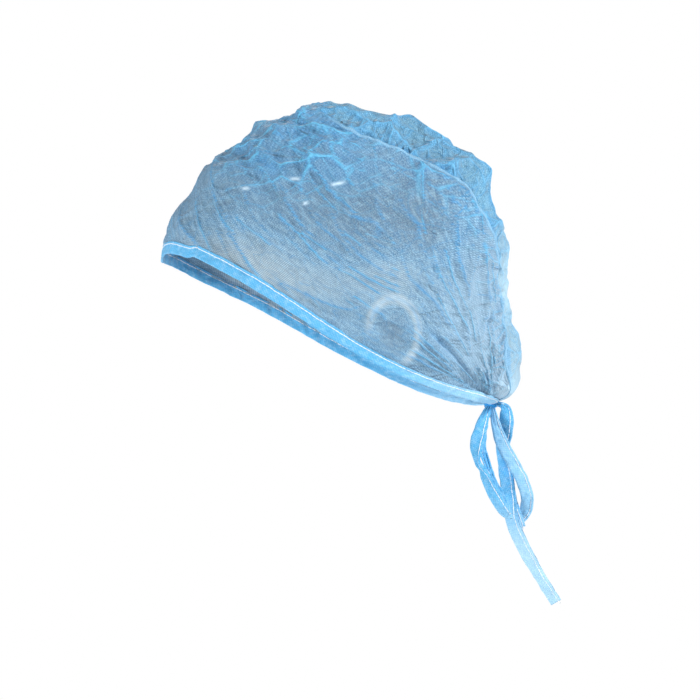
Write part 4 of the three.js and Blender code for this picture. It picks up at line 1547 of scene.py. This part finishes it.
def stitch_mesh(name, strips):
    """Two lines on each strip, one for each face, with the way that the face looks."""
    points, edges, outward, start = [], [], [], 0
    for strip in strips:
        outer, inner = strip.stitch_lines
        out = unit(outer - inner)
        for line, facing_out in ((outer, out), (inner, -out)):
            count = len(line)
            points.append(line + facing_out * ABOVE_CLOTH)
            outward.append(facing_out)
            edges.append(np.stack([np.arange(count - 1), np.arange(1, count)], 1) + start)
            start += count
    mesh = bpy.data.meshes.new(name)
    mesh.from_pydata((np.concatenate(points) * MM).tolist(), np.concatenate(edges).tolist(), [])
    attribute = mesh.attributes.new("facing", "FLOAT_VECTOR", "POINT")
    attribute.data.foreach_set("vector", np.concatenate(outward).astype(np.float32).ravel())
    return mesh


def stitch_object(name, strips, sizes):
    made = new_object(name, stitch_mesh(name, strips))
    modifier = made.modifiers.new("stitches", "NODES")
    modifier.node_group = stitches
    for item in stitches.interface.items_tree:
        if item.in_out == "INPUT" and item.name in sizes:
            value = sizes[item.name]
            modifier[item.identifier] = value if item.name == "Seed" else value * MM
    bake_modifiers(made)
    made.data.shade_smooth()
    print(name, "has", len(made.data.polygons), "faces")
    return made


binding_stitches = stitch_object("binding_stitches", [binding], BINDING_THREAD)
tie_stitches = stitch_object("tie_stitches", tie_strips.values(), TIE_THREAD)

# %% Give each piece its finish and its place in the frame
FINISHES = {
    side_band: (band_cloth, "band_cloth", ["side_band"]),
    crown_panel: (crown_cloth, "crown_cloth", ["crown_panel"]),
    rim_binding: (strip_cloth, "binding_tape", ["rim_binding"]),
    **{tie: (strip_cloth, "binding_tape", [name]) for name, tie in ties.items()},
    tie_knot: (knot_cloth, "knotted_tape", ["tie_knot"]),
    binding_stitches: (thread, "binding_tape", []),
    tie_stitches: (thread, "binding_tape", []),
}
for piece, (finish, slot, nodes) in FINISHES.items():
    piece.data.materials.clear()
    piece.data.materials.append(finish)
    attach(piece, "root")
    if nodes:
        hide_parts(*nodes)

# %% What each sheet was before it was sewn
def cloth_area(grid):
    """Area of a grid's faces in square millimetres."""
    along, up = grid[1:, :-1] - grid[:-1, :-1], grid[:-1, 1:] - grid[:-1, :-1]
    return round(float(np.linalg.norm(np.cross(along, up), axis=-1).sum()))


for name, piece in (("band", band), ("crown", crown), ("turned-in edges", turned_in), ("binding", binding)):
    print("area of the", name, "in square mm:", cloth_area(piece.points))

# %% [markdown]
# ## A plain room
# The cap is held up as a head would hold it, over a pale floor. The world is white to the
# camera but dim as a light, so that four soft lamps can draw the folds: a high one behind the
# wearer's left rakes across them, one in front fills the forehead, one lights the far side,
# and a weak low one lifts the shadow under the nape.

# %% Floor and light
FLOOR_BELOW = 0.175  # under the long tail's end
FLOOR_HALF = 1.2
WORLD_LIGHT = 0.24

floor_z = cad_box[0][2] - FLOOR_BELOW
floor_corners = [(x * FLOOR_HALF, y * FLOOR_HALF, floor_z) for x, y in ((-1, -1), (1, -1), (1, 1), (-1, 1))]
floor_mesh = bpy.data.meshes.new("floor")
floor_mesh.from_pydata(floor_corners, [], [(0, 1, 2, 3)])
floor = new_object("floor", floor_mesh)
floor_paint = bpy.data.materials.new("matt_white_paint")
floor_paint.use_nodes = True
paint = floor_paint.node_tree.nodes["Principled BSDF"]
paint.inputs["Base Color"].default_value = linear("#f4f4f4")
paint.inputs["Roughness"].default_value = 0.9
floor.data.materials.append(floor_paint)

world = bpy.data.worlds.new("white_studio")
bpy.context.scene.world = world
world.use_nodes = True
studio = world.node_tree
background = studio.nodes["Background"]
background.inputs["Color"].default_value = (1, 1, 1, 1)
seen = add_node(studio, "ShaderNodeLightPath", out="Is Camera Ray")
strength = add_node(studio, MAP_RANGE, [seen, 0.0, 1.0, WORLD_LIGHT, 1.0])
studio.links.new(strength, background.inputs["Strength"])

# place and size in metres, power in watts
Lamp = namedtuple("Lamp", "place size power")
LAMPS = {
    "key_light": Lamp((0.62, 1.3, 0.75), 0.25, 24),
    "side_light": Lamp((1.1, -1.3, 0.0), 0.4, 19),
    "far_light": Lamp((-1.4, 0.1, 0.25), 0.5, 15),
    "low_light": Lamp((0.9, 1.1, -0.27), 0.35, 2.8),
}
LIT_POINT = Vector((0, 0, -0.12))
for name, lamp in LAMPS.items():
    light = bpy.data.lights.new(name, "AREA")
    light.size = lamp.size
    light.energy = lamp.power
    lit = new_object(name, light)
    lit.location = lamp.place
    lit.rotation_euler = (LIT_POINT - Vector(lamp.place)).to_track_quat("-Z", "Y").to_euler()

# %% The camera: level with the cap's lower half, looking at the wearer's left side
CAMERA_FAR, CAMERA_RISE = 1.5, math.radians(-3.5)
VIEW_WIDE = 0.4095  # of the plane through the cap's middle
SENSOR = 36.0
aim = Vector((0.0, 0.0029, -0.1439))
camera_data = bpy.data.cameras.new("camera")
camera_data.sensor_width = SENSOR
camera_data.lens = SENSOR * CAMERA_FAR / VIEW_WIDE
camera = new_object("camera", camera_data)
camera.location = aim + CAMERA_FAR * Vector((math.cos(CAMERA_RISE), 0, math.sin(CAMERA_RISE)))
camera.rotation_euler = (aim - camera.location).to_track_quat("-Z", "Y").to_euler()
bpy.context.scene.camera = camera
bpy.context.scene.view_settings.view_transform = "Standard"
